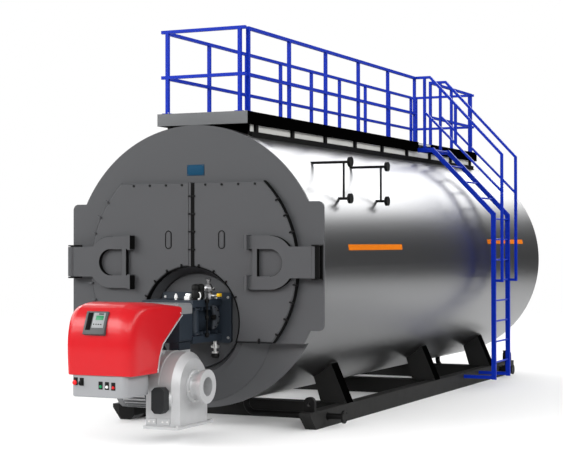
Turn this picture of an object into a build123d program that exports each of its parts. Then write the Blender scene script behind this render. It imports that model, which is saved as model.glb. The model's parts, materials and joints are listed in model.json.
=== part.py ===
import os
from math import hypot

from build123d import *

# Millimetres, +Z up, floor at z = 0. The boiler lies along Y with its burner end at -Y
# and its ladder at +X; the origin is on the floor under the middle cross member.

# shell and ends
shell_r = 1675
shell_wall = 100
shell_length = 9070
shell_clearance = 275
axis_z = shell_clearance + shell_r
front_y = -4900
front_lip = 25
front_r = shell_r + front_lip
smokebox_depth = 150
smokebox_plate_t = 30
casing_wall = 25
tube_plate_t = 40
rear_plate_t = 40
rear_inset = 8
front_bottom = axis_z - front_r
front_top = axis_z + front_r
ledge_z = front_bottom + 810
wing_half = front_r + 10
wing_top = front_top - 935
wing_bottom = front_bottom + 965
wing_round = 70

# front doors
door_r = front_r - 300
door_top = axis_z + door_r - 390
door_bottom = ledge_z + 8
door_t = 70
door_gap = 10
door_split = 30
door_chamfer = 14
door_overlap = 70
mullion = 150
burner_z = ledge_z + 285
mouth_z = burner_z - 45
burner_hole_r = 655
burner_ring_r = burner_hole_r + 50
mouth_r = burner_hole_r - 5
mouth_lip = 5
seat_gap = 0.3
burner_plate_r = 570
burner_plate_t = 40
burner_plate_gap = 15
burner_plate_chamfer = 8
apron_reach = 280
apron_edge = 6

# door hinges
pin_x = wing_half - 55
pin_y = front_y - 112
pin_r = 22
pin_clearance = 0.1
knuckle_r = 48
arm_t = 60
arm_gap = 2
strap_top = axis_z + 240
strap_bottom = axis_z - 125
strap_inner_x = door_r - 55
yoke_low = axis_z - 260
yoke_high = axis_z + 365
yoke_tip_x = strap_inner_x - 570
yoke_eye_r = 160
yoke_bar_x = (yoke_tip_x + 85, yoke_tip_x + 145)
yoke_eye_straight = 165
yoke_block_w = 35
yoke_block_lip = 12
yoke_block_out = 50
lug_gap = 6
lug_t = 16
lug_half = 62
lug_shift = 10
bracket_t = 22

# burner, lengths measured from the front face and heights from the burner axis
flange_size = (940, 600)
flange_t = 40
flange_round = 40
body_half = 340
body_low = burner_z - 270
body_high = burner_z + 225
body_length = 690
body_bore_r = 235
body_plate_t = 80
body_side_t = 120
collar_half = 330
collar_low = burner_z - 245
collar_high = burner_z + 200
collar_length = 295
collar_round = 45
cover_x = (-450, 350)
cover_outline = [
    (-1965, -540), (-1985, -215), (-1945, -5), (-1800, 215), (-1560, 245),
    (-915, 175), (-915, 70), (-1310, -215), (-1390, -345), (-1440, -540),
]
cover_round = 40
cover_side_round = 55
box_h = 235
box_x = (-430, 270)
box_y = (-1945, -1455)
box_round = 60
box_edge_round = 18
fan_x = (170, 560)
fan_y = (-1375, -615)
fan_top = burner_z - 330
fan_bottom = burner_z - 1160
fan_edge_cut = 70
fan_foot_out = 30
fan_foot_t = 30
throat_x = (190, 320)
throat_y = (-900, -650)
inlet_neck_r = 150
inlet_r = 190
inlet_bore_r = 105
inlet_length = 180
inlet_flange_t = 45
adaptor_r = 300
adaptor_t = 80
motor_r = 270
motor_length = 420
motor_chamfer = 30
terminal_size = (200, 220, 170)
terminal_x = -250
terminal_sink = 40
terminal_chamfer = 50
actuator_x = 412
actuator_z = burner_z - 830
actuator_size = (160, 285)
actuator_t = 110
actuator_corner = 40
actuator_stem_r = 65
actuator_stem = 50
fitting_z = body_high
switch_r = 48
switch_h = 185
switch_y = (-425, -310)
switch_x = 265
regulator_y = -130
regulator_x = 275
regulator_r = (42, 78)
regulator_h = (130, 110)

# platform
deck_z = axis_z + shell_r + 195
deck_t = 30
deck_half = 620
deck_front = front_y + 200
deck_length = 8850
frame_height = 150
frame_wall = 50
support_x = deck_half - 40
support_w = 60
support_post = (50, 70)
support_ends = 300
support_count = 9
support_rail_top = axis_z + shell_r - 45
support_foot = axis_z + shell_r - 275
nozzle_y = [front_y + y for y in (1895, 2410, 4840, 7200, 8120)]
nozzle_r = (130, 130, 250, 190, 190)
nozzle_flange_out = 35
nozzle_flange_t = 30

# railings
rail_height = 1030
rail_mid = 450
post_w = 42
rail_w = 40
rail_x = deck_half - 60
rail_end_half = 581
rail_end_post = 500
rail_front_y = deck_front + 45
rail_rear_y = deck_front + deck_length - 45
side_start = deck_front + 150
side_end = deck_front + deck_length - 150
gate = (front_y + 6080, front_y + 6820)

# ladder
ladder_x = shell_r + 175
ladder_knee_z = axis_z + 725
ladder_top_x = deck_half + 246
ladder_top_z = deck_z - 130
ladder_foot_z = 130
stringer_w = 70
stringer_t = 40
rung_r = 14
rung_count = 8
rung_low = 392
rung_high = ladder_knee_z - 75
slope_rungs = 3
grip_x = ladder_x + 135
grip_knee_z = ladder_knee_z + 915
grip_top_x = deck_half + 202
grip_end_z = axis_z - 300
grip_mid_top = (deck_half + 110, deck_z + 470)
grip_mid_end_z = grip_knee_z - 570
grip_mid_w = 32
strut_x = deck_half + 620
bracket_z = 165
bracket_h = 50

# skid
shell_rear_y = front_y + smokebox_depth + tube_plate_t + shell_length
beam_x = shell_r - 305
beam_w = 150
beam_h = 215
beam_nose = 45
beam_front_top = front_y + 370
beam_front_bottom = front_y + 540
beam_rear = shell_rear_y - 510
lug_y = (beam_front_top + 150, beam_rear - 150)
lug_w = 140
lug_top = 175
lug_round = 65
lug_plate_t = 50
lug_hole_r = 28
lug_hole_z = 90
leg_y = (front_y + 1600, 0, shell_rear_y - 1710)
leg_t = 200
leg_bottom = (beam_x - 375, beam_x - 15)
leg_top = (beam_x - 570, beam_x - 295)
leg_top_z = axis_z - shell_r + 575

# pipes
column_y = (front_y + 1030, front_y + 2250)
column_x = shell_r - 155
column_z = (axis_z + shell_r - 850, axis_z + shell_r - 403)
column_end_x = column_x + 70
column_root_x = column_x - 620
column_r = 14
column_pipe_r = 17
column_disc_r = 62
column_disc_t = 36
drain_r = 38
drain_z = 128
drain_flange_r = 80
drain_flange_t = 22
drain_pcd = 122
drain_bolts = 4
drain_bolt_r = 9
drain_end_x = beam_x + 230
drain_y = (front_y + 870, shell_rear_y - 1310)
drain_drop_x = (260, 270)
drain_bend = 130
drain_top_z = axis_z - shell_r + 675
drain_clearance = 8
valve_x = beam_x + 110
valve_r = 68
valve_length = 140
stem_r = 24
wheel_z = 430
wheel_r = 62
wheel_rim_r = 8
wheel_spoke = 14
wheel_hub_r = 24

# rear
rear_door_r = shell_r - 855
rear_door_z = axis_z - shell_r + rear_door_r + 375
rear_door_t = 60
rear_door_chamfer = 15
flue_z = axis_z + shell_r - 795
flue_r = 330
flue_wall = 12
flue_length = 260
flue_flange_r = 400
flue_flange_t = 20
flue_pcd = 740
flue_bolts = 12
flue_bolt_r = 11


def at_y(y):
    return Plane.XZ.offset(-y)


def ribbon(points, width):
    """Outline of a mitred strip of the given width along a polyline."""
    left, right = [], []
    for i, (x, z) in enumerate(points):
        normals = []
        for a, b in ((i - 1, i), (i, i + 1)):
            if a >= 0 and b < len(points):
                dx, dz = points[b][0] - points[a][0], points[b][1] - points[a][1]
                normals.append((-dz / hypot(dx, dz), dx / hypot(dx, dz)))
        nx = sum(n[0] for n in normals) / len(normals)
        nz = sum(n[1] for n in normals) / len(normals)
        k = width / 2 / (nx * nx + nz * nz)
        left.append((x + nx * k, z + nz * k))
        right.append((x - nx * k, z - nz * k))
    return left + right[::-1]


def casing_profile(inset, wings):
    with BuildSketch(Plane.XZ) as profile:
        with Locations((0, axis_z)):
            Circle(front_r - inset)
        with Locations((0, ledge_z + inset - front_r)):
            Rectangle(4 * front_r, 2 * front_r, mode=Mode.SUBTRACT)
        if wings:
            with Locations((0, (wing_top + wing_bottom) / 2)):
                RectangleRounded(2 * wing_half, wing_top - wing_bottom, wing_round)
        with Locations((0, mouth_z)):
            Circle(burner_ring_r - inset)
    return profile.sketch


def door_profile(shrink, burner_r, split):
    with BuildSketch(Plane.XZ) as profile:
        with Locations((0, axis_z)):
            Circle(door_r - shrink)
        with Locations((0, door_top - shrink + front_r)):
            Rectangle(4 * front_r, 2 * front_r, mode=Mode.SUBTRACT)
        with Locations((0, door_bottom + shrink - front_r)):
            Rectangle(4 * front_r, 2 * front_r, mode=Mode.SUBTRACT)
        with Locations((0, mouth_z)):
            Circle(burner_r, mode=Mode.SUBTRACT)
        with Locations((0, axis_z)):
            Rectangle(split, 4 * front_r, mode=Mode.SUBTRACT)
    return profile.sketch


def save(part, name):
    part.label = name
    export_step(part, f"parts/{name}.step")


os.makedirs("parts", exist_ok=True)

# shell and end plates
tube_plate_y = front_y + smokebox_depth
shell_front = tube_plate_y + tube_plate_t
rear_y = shell_rear_y + rear_plate_t

with BuildPart() as shell:
    with BuildSketch(at_y(shell_front)):
        with Locations((0, axis_z)):
            Circle(shell_r)
            Circle(shell_r - shell_wall, mode=Mode.SUBTRACT)
    extrude(amount=-shell_length)
save(shell.part, "shell")

with BuildPart() as tube_plate:
    with BuildSketch(at_y(tube_plate_y)):
        with Locations((0, axis_z)):
            Circle(front_r)
    extrude(amount=-tube_plate_t)
save(tube_plate.part, "tube_plate")

with BuildPart() as rear_plate:
    with BuildSketch(at_y(shell_rear_y)):
        with Locations((0, axis_z)):
            Circle(shell_r - rear_inset)
    extrude(amount=-rear_plate_t)
save(rear_plate.part, "rear_plate")

with BuildPart() as rear_access_door:
    with BuildSketch(at_y(rear_y)):
        with Locations((0, rear_door_z)):
            Circle(rear_door_r)
    extrude(amount=-rear_door_t)
    chamfer(rear_access_door.faces().sort_by(Axis.Y)[-1].edges(), rear_door_chamfer)
save(rear_access_door.part, "rear_access_door")

with BuildPart() as flue_outlet:
    with BuildSketch(at_y(rear_y)):
        with Locations((0, flue_z)):
            Circle(flue_r)
    extrude(amount=-flue_length)
    with BuildSketch(at_y(rear_y + flue_length - flue_flange_t)):
        with Locations((0, flue_z)):
            Circle(flue_flange_r)
            with PolarLocations(flue_pcd / 2, flue_bolts):
                Circle(flue_bolt_r, mode=Mode.SUBTRACT)
    extrude(amount=-flue_flange_t)
    with BuildSketch(at_y(rear_y)):
        with Locations((0, flue_z)):
            Circle(flue_r - flue_wall)
    extrude(amount=-flue_length, mode=Mode.SUBTRACT)
save(flue_outlet.part, "flue_outlet")

# smokebox
with BuildPart() as smokebox_plate:
    with BuildSketch(at_y(front_y)):
        add(casing_profile(0, True))
        add(door_profile(door_overlap, burner_ring_r, mullion), mode=Mode.SUBTRACT)
        with Locations((0, mouth_z)):
            Circle(mouth_r, mode=Mode.SUBTRACT)
    extrude(amount=-smokebox_plate_t)
save(smokebox_plate.part, "smokebox_plate")

with BuildPart() as smokebox_casing:
    with BuildSketch(at_y(front_y + smokebox_plate_t)):
        add(casing_profile(0, False))
        add(casing_profile(casing_wall, False), mode=Mode.SUBTRACT)
    extrude(amount=smokebox_plate_t - smokebox_depth)
save(smokebox_casing.part, "smokebox_casing")

# doors
door_face = front_y - door_gap - door_t
with BuildPart() as right_door:
    with BuildSketch(at_y(door_face)):
        add(door_profile(0, burner_hole_r, door_split))
        with Locations((-front_r, axis_z)):
            Rectangle(2 * front_r, 4 * front_r, mode=Mode.SUBTRACT)
    extrude(amount=-door_t)
    chamfer(right_door.faces().sort_by(Axis.Y)[0].edges(), door_chamfer)
save(right_door.part, "right_door")

with BuildPart() as left_door:
    mirror(right_door.part, about=Plane.YZ)
save(left_door.part, "left_door")

# hinge arms
arm_front = door_face - arm_gap - arm_t
yoke_z = (yoke_low + yoke_high) / 2
yoke_half = (yoke_high - yoke_low) / 2
eye_x = yoke_bar_x[1] + yoke_eye_straight
block_y = arm_front - yoke_block_out
with BuildPart() as right_hinge_arm:
    with BuildSketch(at_y(arm_front)):
        with Locations((eye_x, yoke_z)):
            Circle(yoke_half)
        with Locations((eye_x - yoke_half, yoke_z)):
            Rectangle(2 * yoke_half, 2 * yoke_half, mode=Mode.SUBTRACT)
        with Locations(((yoke_tip_x + eye_x) / 2, yoke_z)):
            Rectangle(eye_x - yoke_tip_x, 2 * yoke_half)
        with Locations(((eye_x + pin_x) / 2, (strap_top + strap_bottom) / 2)):
            Rectangle(pin_x - eye_x, strap_top - strap_bottom)
        with Locations((eye_x, yoke_z)):
            Circle(yoke_eye_r, mode=Mode.SUBTRACT)
        for left, right in ((yoke_bar_x[1], eye_x), (yoke_tip_x, yoke_bar_x[0])):
            with Locations(((left + right) / 2, yoke_z)):
                Rectangle(right - left, 2 * yoke_eye_r, mode=Mode.SUBTRACT)
    extrude(amount=-arm_t)
    with BuildSketch(at_y(block_y)):
        for low, high in ((yoke_low, yoke_z - yoke_eye_r), (yoke_z + yoke_eye_r, yoke_high)):
            with Locations((yoke_tip_x + yoke_block_w / 2, (low + high) / 2)):
                Rectangle(yoke_block_w, high - low + 2 * yoke_block_lip)
    extrude(amount=block_y - door_face)
    with BuildSketch(Plane.XY.offset(strap_bottom)):
        with Locations((pin_x, pin_y)):
            Circle(knuckle_r)
    extrude(amount=strap_top - strap_bottom)
    with BuildSketch(Plane.XY.offset(strap_bottom)):
        with Locations((pin_x, pin_y)):
            Circle(pin_r + pin_clearance)
    extrude(amount=strap_top - strap_bottom, mode=Mode.SUBTRACT)
save(right_hinge_arm.part, "right_hinge_arm")

with BuildPart() as left_hinge_arm:
    mirror(right_hinge_arm.part, about=Plane.YZ)
save(left_hinge_arm.part, "left_hinge_arm")

lug_span = strap_top - strap_bottom + 2 * lug_gap + 2 * lug_t
with BuildPart() as hinge_brackets:
    with BuildSketch(at_y(front_y)):
        with Locations((pin_x - lug_shift, (strap_top + strap_bottom) / 2)):
            Rectangle(2 * lug_half, lug_span)
    extrude(amount=bracket_t)
    for low in (strap_top + lug_gap, strap_bottom - lug_gap - lug_t):
        with BuildSketch(Plane.XY.offset(low)):
            with Locations((pin_x, pin_y)):
                Circle(knuckle_r)
            with Locations((pin_x, (pin_y + front_y) / 2)):
                Rectangle(2 * knuckle_r, front_y - pin_y)
        extrude(amount=lug_t)
    with BuildSketch(Plane.XY.offset(strap_bottom - lug_gap - lug_t)):
        with Locations((pin_x, pin_y)):
            Circle(pin_r)
    extrude(amount=lug_span)
    mirror(hinge_brackets.part, about=Plane.YZ)
save(hinge_brackets.part, "hinge_brackets")

# furnace mouth, a cone from the doors' cut-out down to the burner plate
mouth_axis = Axis((0, 0, mouth_z), (0, 1, 0))
flange_y = tube_plate_y - burner_plate_t
mouth_outer = mouth_z + mouth_r - seat_gap
mouth_inner = mouth_z + burner_plate_r + burner_plate_gap
with BuildPart() as furnace_mouth:
    with BuildSketch(Plane.YZ):
        Polygon(
            (front_y, mouth_outer), (tube_plate_y, mouth_outer), (tube_plate_y, mouth_inner),
            (flange_y, mouth_inner), (front_y, mouth_outer - mouth_lip), align=None,
        )
    revolve(axis=mouth_axis)
save(furnace_mouth.part, "furnace_mouth")

# sloping apron from the plate's round foot back to the tube plate
apron_root = mouth_z + burner_ring_r + seat_gap
with BuildPart() as burner_apron:
    with BuildSketch(Plane.YZ):
        Polygon(
            (front_y, apron_root), (tube_plate_y, apron_root), (tube_plate_y, apron_root + apron_reach),
            (tube_plate_y - apron_edge, apron_root + apron_reach), align=None,
        )
    revolve(axis=mouth_axis)
    split(bisect_by=Plane.XY.offset(ledge_z), keep=Keep.BOTTOM)
save(burner_apron.part, "burner_apron")

# burner
with BuildPart() as burner_plate:
    with BuildSketch(at_y(tube_plate_y)):
        with Locations((0, mouth_z)):
            Circle(burner_plate_r)
    extrude(amount=burner_plate_t)
    chamfer(burner_plate.faces().sort_by(Axis.Y)[0].edges(), burner_plate_chamfer)
save(burner_plate.part, "burner_plate")

with BuildPart() as burner_flange:
    with BuildSketch(at_y(flange_y)):
        with Locations((0, burner_z)):
            RectangleRounded(*flange_size, flange_round)
    extrude(amount=flange_t)
save(burner_flange.part, "burner_flange")

body_y = flange_y - flange_t
body_mid = (body_low + body_high) / 2
with BuildPart() as burner_body:
    with BuildSketch(at_y(body_y)):
        with Locations((0, body_mid)):
            Circle(body_bore_r)
        with Locations((0, body_high - body_plate_t / 2), (0, body_low + body_plate_t / 2)):
            Rectangle(2 * body_half, body_plate_t)
        with Locations((body_side_t / 2 - body_half, body_mid)):
            Rectangle(body_side_t, body_high - body_low)
    extrude(amount=body_length)
save(burner_body.part, "burner_body")

collar_y = body_y - body_length
with BuildPart() as burner_collar:
    with BuildSketch(at_y(collar_y)):
        with Locations((0, (collar_low + collar_high) / 2)):
            RectangleRounded(2 * collar_half, collar_high - collar_low, collar_round)
    extrude(amount=collar_length)
save(burner_collar.part, "burner_collar")

with BuildPart() as burner_cover:
    with BuildSketch(Plane.YZ.offset(cover_x[0])):
        Polygon(*((front_y + y, burner_z + z) for y, z in cover_outline), align=None)
    extrude(amount=cover_x[1] - cover_x[0])
    fillet(burner_cover.edges().filter_by(Axis.X), cover_round)
    for end in (0, -1):
        fillet(burner_cover.faces().sort_by(Axis.X)[end].edges(), cover_side_round)
save(burner_cover.part, "burner_cover")

cover_bottom = burner_z + cover_outline[0][1]
with BuildPart() as control_box:
    with BuildSketch(Plane.XY.offset(cover_bottom - box_h)):
        with Locations(((box_x[0] + box_x[1]) / 2, front_y + (box_y[0] + box_y[1]) / 2)):
            RectangleRounded(box_x[1] - box_x[0], box_y[1] - box_y[0], box_round)
    extrude(amount=box_h)
    fillet(control_box.faces().sort_by(Axis.Z)[0].edges(), box_edge_round)
save(control_box.part, "control_box")

fan_mid_y = front_y + (fan_y[0] + fan_y[1]) / 2
fan_r = (fan_y[1] - fan_y[0]) / 2
fan_axis_z = fan_top - fan_r
with BuildPart() as fan_housing:
    with BuildSketch(Plane.YZ.offset(fan_x[0])):
        with Locations((fan_mid_y, fan_axis_z)):
            Circle(fan_r)
        with Locations((fan_mid_y, (fan_axis_z + fan_bottom) / 2)):
            Rectangle(2 * fan_r, fan_axis_z - fan_bottom)
    extrude(amount=fan_x[1] - fan_x[0])
    rim = fan_housing.faces().sort_by(Axis.X)[-1].edges().filter_by(Axis.Y, reverse=True)
    chamfer(rim, fan_edge_cut)
    with BuildSketch(Plane.XY.offset(fan_bottom)):
        with Locations(((fan_x[0] + fan_x[1]) / 2, fan_mid_y)):
            RectangleRounded(
                fan_x[1] - fan_x[0] + 2 * fan_foot_out, 2 * fan_r + 2 * fan_foot_out, fan_foot_out
            )
    extrude(amount=fan_foot_t)
    with BuildSketch(Plane.XY.offset(fan_axis_z + fan_r / 2)):
        with Locations(((throat_x[0] + throat_x[1]) / 2, front_y + (throat_y[0] + throat_y[1]) / 2)):
            Rectangle(throat_x[1] - throat_x[0], throat_y[1] - throat_y[0])
    extrude(amount=collar_low - fan_axis_z - fan_r / 2)
save(fan_housing.part, "fan_housing")

with BuildPart() as inlet_ring:
    with BuildSketch(Plane.YZ.offset(fan_x[1])):
        with Locations((fan_mid_y, fan_axis_z)):
            Circle(inlet_neck_r)
    extrude(amount=inlet_length)
    with BuildSketch(Plane.YZ.offset(fan_x[1] + inlet_length - inlet_flange_t)):
        with Locations((fan_mid_y, fan_axis_z)):
            Circle(inlet_r)
    extrude(amount=inlet_flange_t)
    with BuildSketch(Plane.YZ.offset(fan_x[1])):
        with Locations((fan_mid_y, fan_axis_z)):
            Circle(inlet_bore_r)
    extrude(amount=inlet_length, mode=Mode.SUBTRACT)
save(inlet_ring.part, "inlet_ring")

with BuildPart() as motor_adaptor:
    with BuildSketch(Plane.YZ.offset(fan_x[0])):
        with Locations((fan_mid_y, fan_axis_z)):
            Circle(adaptor_r)
    extrude(amount=-adaptor_t)
save(motor_adaptor.part, "motor_adaptor")

motor_x = fan_x[0] - adaptor_t
with BuildPart() as fan_motor:
    with BuildSketch(Plane.YZ.offset(motor_x)):
        with Locations((fan_mid_y, fan_axis_z)):
            Circle(motor_r)
    extrude(amount=-motor_length)
    chamfer(fan_motor.faces().sort_by(Axis.X)[0].edges(), motor_chamfer)
save(fan_motor.part, "fan_motor")

with BuildPart() as motor_terminal_box:
    with BuildSketch(Plane.XY.offset(fan_axis_z - motor_r + terminal_sink - terminal_size[2])):
        with Locations((terminal_x, fan_mid_y)):
            Rectangle(terminal_size[0], terminal_size[1])
    extrude(amount=terminal_size[2])
    chamfer(motor_terminal_box.edges().filter_by(Axis.Y).group_by(Axis.Z)[0], terminal_chamfer)
    add(fan_motor.part, mode=Mode.SUBTRACT)
save(motor_terminal_box.part, "motor_terminal_box")

with BuildPart() as damper_actuator:
    with BuildSketch(at_y(fan_mid_y - fan_r - actuator_stem)) as outline:
        with Locations((actuator_x, actuator_z)):
            Rectangle(*actuator_size)
        chamfer(outline.vertices(), actuator_corner)
    extrude(amount=actuator_t)
    with BuildSketch(at_y(fan_mid_y - fan_r)):
        with Locations((actuator_x, actuator_z)):
            Circle(actuator_stem_r)
    extrude(amount=actuator_stem)
save(damper_actuator.part, "damper_actuator")

with BuildPart() as gas_fittings:
    with BuildSketch(Plane.XY.offset(fitting_z)):
        with Locations(*((switch_x, front_y + y) for y in switch_y)):
            Circle(switch_r)
    extrude(amount=switch_h)
    with BuildSketch(Plane.XY.offset(fitting_z)):
        with Locations((regulator_x, front_y + regulator_y)):
            Circle(regulator_r[0])
    extrude(amount=regulator_h[0])
    with BuildSketch(Plane.XY.offset(fitting_z + regulator_h[0])):
        with Locations((regulator_x, front_y + regulator_y)):
            Circle(regulator_r[1])
    extrude(amount=regulator_h[1])
save(gas_fittings.part, "gas_fittings")

# skid
with BuildPart() as skid_beam_right:
    with BuildSketch(Plane.YZ.offset(beam_x - beam_w)):
        Polygon(
            (beam_front_bottom, 0), (beam_rear, 0), (beam_rear, beam_h),
            (beam_front_top, beam_h), (beam_front_top, beam_h - beam_nose), align=None,
        )
    extrude(amount=beam_w)
    with BuildSketch(Plane.YZ.offset(beam_x - beam_w)):
        with Locations(*((y, drain_z) for y in drain_y)):
            Circle(drain_r + drain_clearance)
    extrude(amount=beam_w, mode=Mode.SUBTRACT)
save(skid_beam_right.part, "skid_beam_right")

with BuildPart() as skid_beam_left:
    with BuildSketch(Plane.YZ.offset(-beam_x)):
        Polygon(
            (beam_front_bottom, 0), (beam_rear, 0), (beam_rear, beam_h),
            (beam_front_top, beam_h), (beam_front_top, beam_h - beam_nose), align=None,
        )
    extrude(amount=beam_w)
save(skid_beam_left.part, "skid_beam_left")

with BuildPart() as cross_members:
    with BuildSketch(Plane.XY):
        with Locations(*((0, y) for y in leg_y)):
            Rectangle(2 * (beam_x - beam_w), leg_t)
    extrude(amount=beam_h)
save(cross_members.part, "cross_members")

with BuildPart() as saddle_legs:
    for y in leg_y:
        for side in (-1, 1):
            with BuildSketch(at_y(y - leg_t / 2)):
                Polygon(
                    (side * leg_bottom[0], beam_h), (side * leg_bottom[1], beam_h),
                    (side * leg_top[1], leg_top_z), (side * leg_top[0], leg_top_z), align=None,
                )
            extrude(amount=-leg_t)
    with BuildSketch(at_y(shell_front)):
        with Locations((0, axis_z)):
            Circle(shell_r)
    extrude(amount=-shell_length, mode=Mode.SUBTRACT)
save(saddle_legs.part, "saddle_legs")

with BuildPart() as lifting_lugs:
    for y in lug_y:
        with BuildSketch(at_y(y - lug_plate_t / 2)):
            with Locations((beam_x - beam_w / 2, beam_h)):
                RectangleRounded(lug_w, 2 * lug_top, lug_round)
            with Locations((beam_x - beam_w / 2, beam_h + lug_hole_z)):
                Circle(lug_hole_r, mode=Mode.SUBTRACT)
            with Locations((beam_x - beam_w / 2, beam_h - lug_top / 2)):
                Rectangle(lug_w, lug_top, mode=Mode.SUBTRACT)
        extrude(amount=-lug_plate_t)
    mirror(lifting_lugs.part, about=Plane.YZ)
save(lifting_lugs.part, "lifting_lugs")

# platform
with BuildPart() as platform_frame:
    with BuildSketch(Plane.XY.offset(deck_z - frame_height)):
        with Locations((0, deck_front + deck_length / 2)):
            Rectangle(2 * deck_half, deck_length)
            Rectangle(2 * (deck_half - frame_wall), deck_length - 2 * frame_wall, mode=Mode.SUBTRACT)
    extrude(amount=frame_height)
    with BuildSketch(Plane.XY.offset(deck_z - frame_height)):
        with Locations((deck_half - frame_wall / 2, (gate[0] + gate[1]) / 2)):
            Rectangle(frame_wall, gate[1] - gate[0] - stringer_t)
    extrude(amount=frame_height, mode=Mode.SUBTRACT)
save(platform_frame.part, "platform_frame")

with BuildPart() as platform_deck:
    with BuildSketch(Plane.XY.offset(deck_z - deck_t)):
        with Locations((0, deck_front + deck_length / 2)):
            Rectangle(2 * (deck_half - frame_wall), deck_length - 2 * frame_wall)
    extrude(amount=deck_t)
save(platform_deck.part, "platform_deck")

support_top = deck_z - frame_height
support_pitch = (deck_length - 2 * support_ends) / (support_count - 1)
support_y = [deck_front + support_ends + k * support_pitch for k in range(support_count)]
with BuildPart() as platform_supports:
    for side in (-1, 1):
        with BuildSketch(Plane.XY.offset(support_foot)):
            with Locations((side * support_x, deck_front + deck_length / 2)):
                Rectangle(support_w, deck_length - support_ends)
        extrude(amount=support_rail_top - support_foot)
        with BuildSketch(Plane.XY.offset(support_foot)):
            with Locations(*((side * support_x, y) for y in support_y)):
                Rectangle(*support_post)
        extrude(amount=support_top - support_foot)
    with BuildSketch(at_y(shell_front)):
        with Locations((0, axis_z)):
            Circle(shell_r)
    extrude(amount=-shell_length, mode=Mode.SUBTRACT)
save(platform_supports.part, "platform_supports")


with BuildPart() as top_nozzles:
    for y, r in zip(nozzle_y, nozzle_r):
        with BuildSketch(Plane.XY.offset(support_foot)):
            with Locations((0, y)):
                Circle(r)
        extrude(amount=deck_z - deck_t - support_foot)
        with BuildSketch(Plane.XY.offset(deck_z - deck_t - nozzle_flange_t)):
            with Locations((0, y)):
                Circle(r + nozzle_flange_out)
        extrude(amount=nozzle_flange_t)
    with BuildSketch(at_y(shell_front)):
        with Locations((0, axis_z)):
            Circle(shell_r)
    extrude(amount=-shell_length, mode=Mode.SUBTRACT)
save(top_nozzles.part, "top_nozzles")


# railings
def rail_panel(name, plane, stations, start, end):
    with BuildPart() as panel:
        with BuildSketch(plane):
            with Locations(*((s, deck_z + rail_height / 2) for s in stations)):
                Rectangle(post_w, rail_height)
            for z in (deck_z + rail_height - rail_w / 2, deck_z + rail_mid):
                with Locations(((start + end) / 2, z)):
                    Rectangle(end - start, rail_w)
        extrude(amount=post_w / 2, both=True)
    save(panel.part, name)


near_posts = [side_start + k * (gate[0] - side_start) / 5 for k in range(6)]
tail_posts = [gate[1], (gate[1] + side_end) / 2, side_end]
end_posts = [-rail_end_post, rail_end_post]
far_posts = [side_start + k * (side_end - side_start) / 8 for k in range(9)]
rail_panel("rail_right_front", Plane.YZ.offset(rail_x), near_posts, near_posts[0], near_posts[-1])
rail_panel("rail_right_rear", Plane.YZ.offset(rail_x), tail_posts, tail_posts[0], tail_posts[-1])
rail_panel("rail_left", Plane.YZ.offset(-rail_x), far_posts, far_posts[0], far_posts[-1])
rail_panel("rail_front", at_y(rail_front_y), end_posts, -rail_end_half, rail_end_half)
rail_panel("rail_rear", at_y(rail_rear_y), end_posts, -rail_end_half, rail_end_half)

# ladder
stringer_path = [
    (deck_half, ladder_top_z), (ladder_top_x, ladder_top_z),
    (ladder_x, ladder_knee_z), (ladder_x, ladder_foot_z),
]
slope_steps = [k / (slope_rungs + 1) for k in range(slope_rungs + 1)]
slope = [
    (ladder_top_x + k * (ladder_x - ladder_top_x), ladder_top_z + k * (ladder_knee_z - ladder_top_z))
    for k in slope_steps
]
rung_pitch = (rung_high - rung_low) / (rung_count - 1)
upright = [(ladder_x, rung_low + k * rung_pitch) for k in range(rung_count)]
for name, y in (("ladder_stringer_near", gate[0]), ("ladder_stringer_far", gate[1])):
    with BuildPart() as stringer:
        with BuildSketch(at_y(y - stringer_t / 2)):
            Polygon(*ribbon(stringer_path, stringer_w), align=None)
        extrude(amount=-stringer_t)
    save(stringer.part, name)

with BuildPart() as ladder_rungs:
    with BuildSketch(at_y(gate[0] + stringer_t / 2)):
        with Locations(*slope, *upright):
            Circle(rung_r)
    extrude(amount=gate[0] - gate[1] + stringer_t)
save(ladder_rungs.part, "ladder_rungs")

with BuildPart() as ladder_brackets:
    with BuildSketch(Plane.YZ.offset(beam_x)):
        with Locations(*((y, bracket_z) for y in gate)):
            Rectangle(stringer_t, bracket_h)
    extrude(amount=ladder_x - stringer_w / 2 - beam_x)
save(ladder_brackets.part, "ladder_brackets")

grip_start = rail_x + post_w / 2
grip_z = deck_z + rail_height - rail_w / 2
grip_path = [
    (grip_start, grip_z), (grip_top_x, grip_z), (grip_x, grip_knee_z),
    (grip_x, grip_end_z), (ladder_x + stringer_w / 2, grip_end_z),
]
grip_mid_path = [grip_mid_top, (grip_x, grip_mid_end_z)]
grip_drop = (grip_z - grip_knee_z) / (grip_x - grip_top_x)
strut_top = grip_z - (strut_x - grip_top_x) * grip_drop
mid_drop = (grip_mid_top[1] - grip_mid_end_z) / (grip_x - grip_mid_top[0])
strut_low = grip_mid_top[1] - (strut_x - grip_mid_top[0]) * mid_drop
uprights = [(grip_mid_top[0], ladder_top_z + stringer_w / 2, grip_z), (strut_x, strut_low, strut_top)]
with BuildPart() as ladder_handrails:
    for y in gate:
        with BuildSketch(at_y(y - rail_w / 2)):
            Polygon(*ribbon(grip_path, rail_w), align=None)
            Polygon(*ribbon(grip_mid_path, grip_mid_w), align=None)
            for x, low, high in uprights:
                with Locations((x, (low + high) / 2)):
                    Rectangle(rail_w, high - low)
        extrude(amount=-rail_w)
save(ladder_handrails.part, "ladder_handrails")

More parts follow.
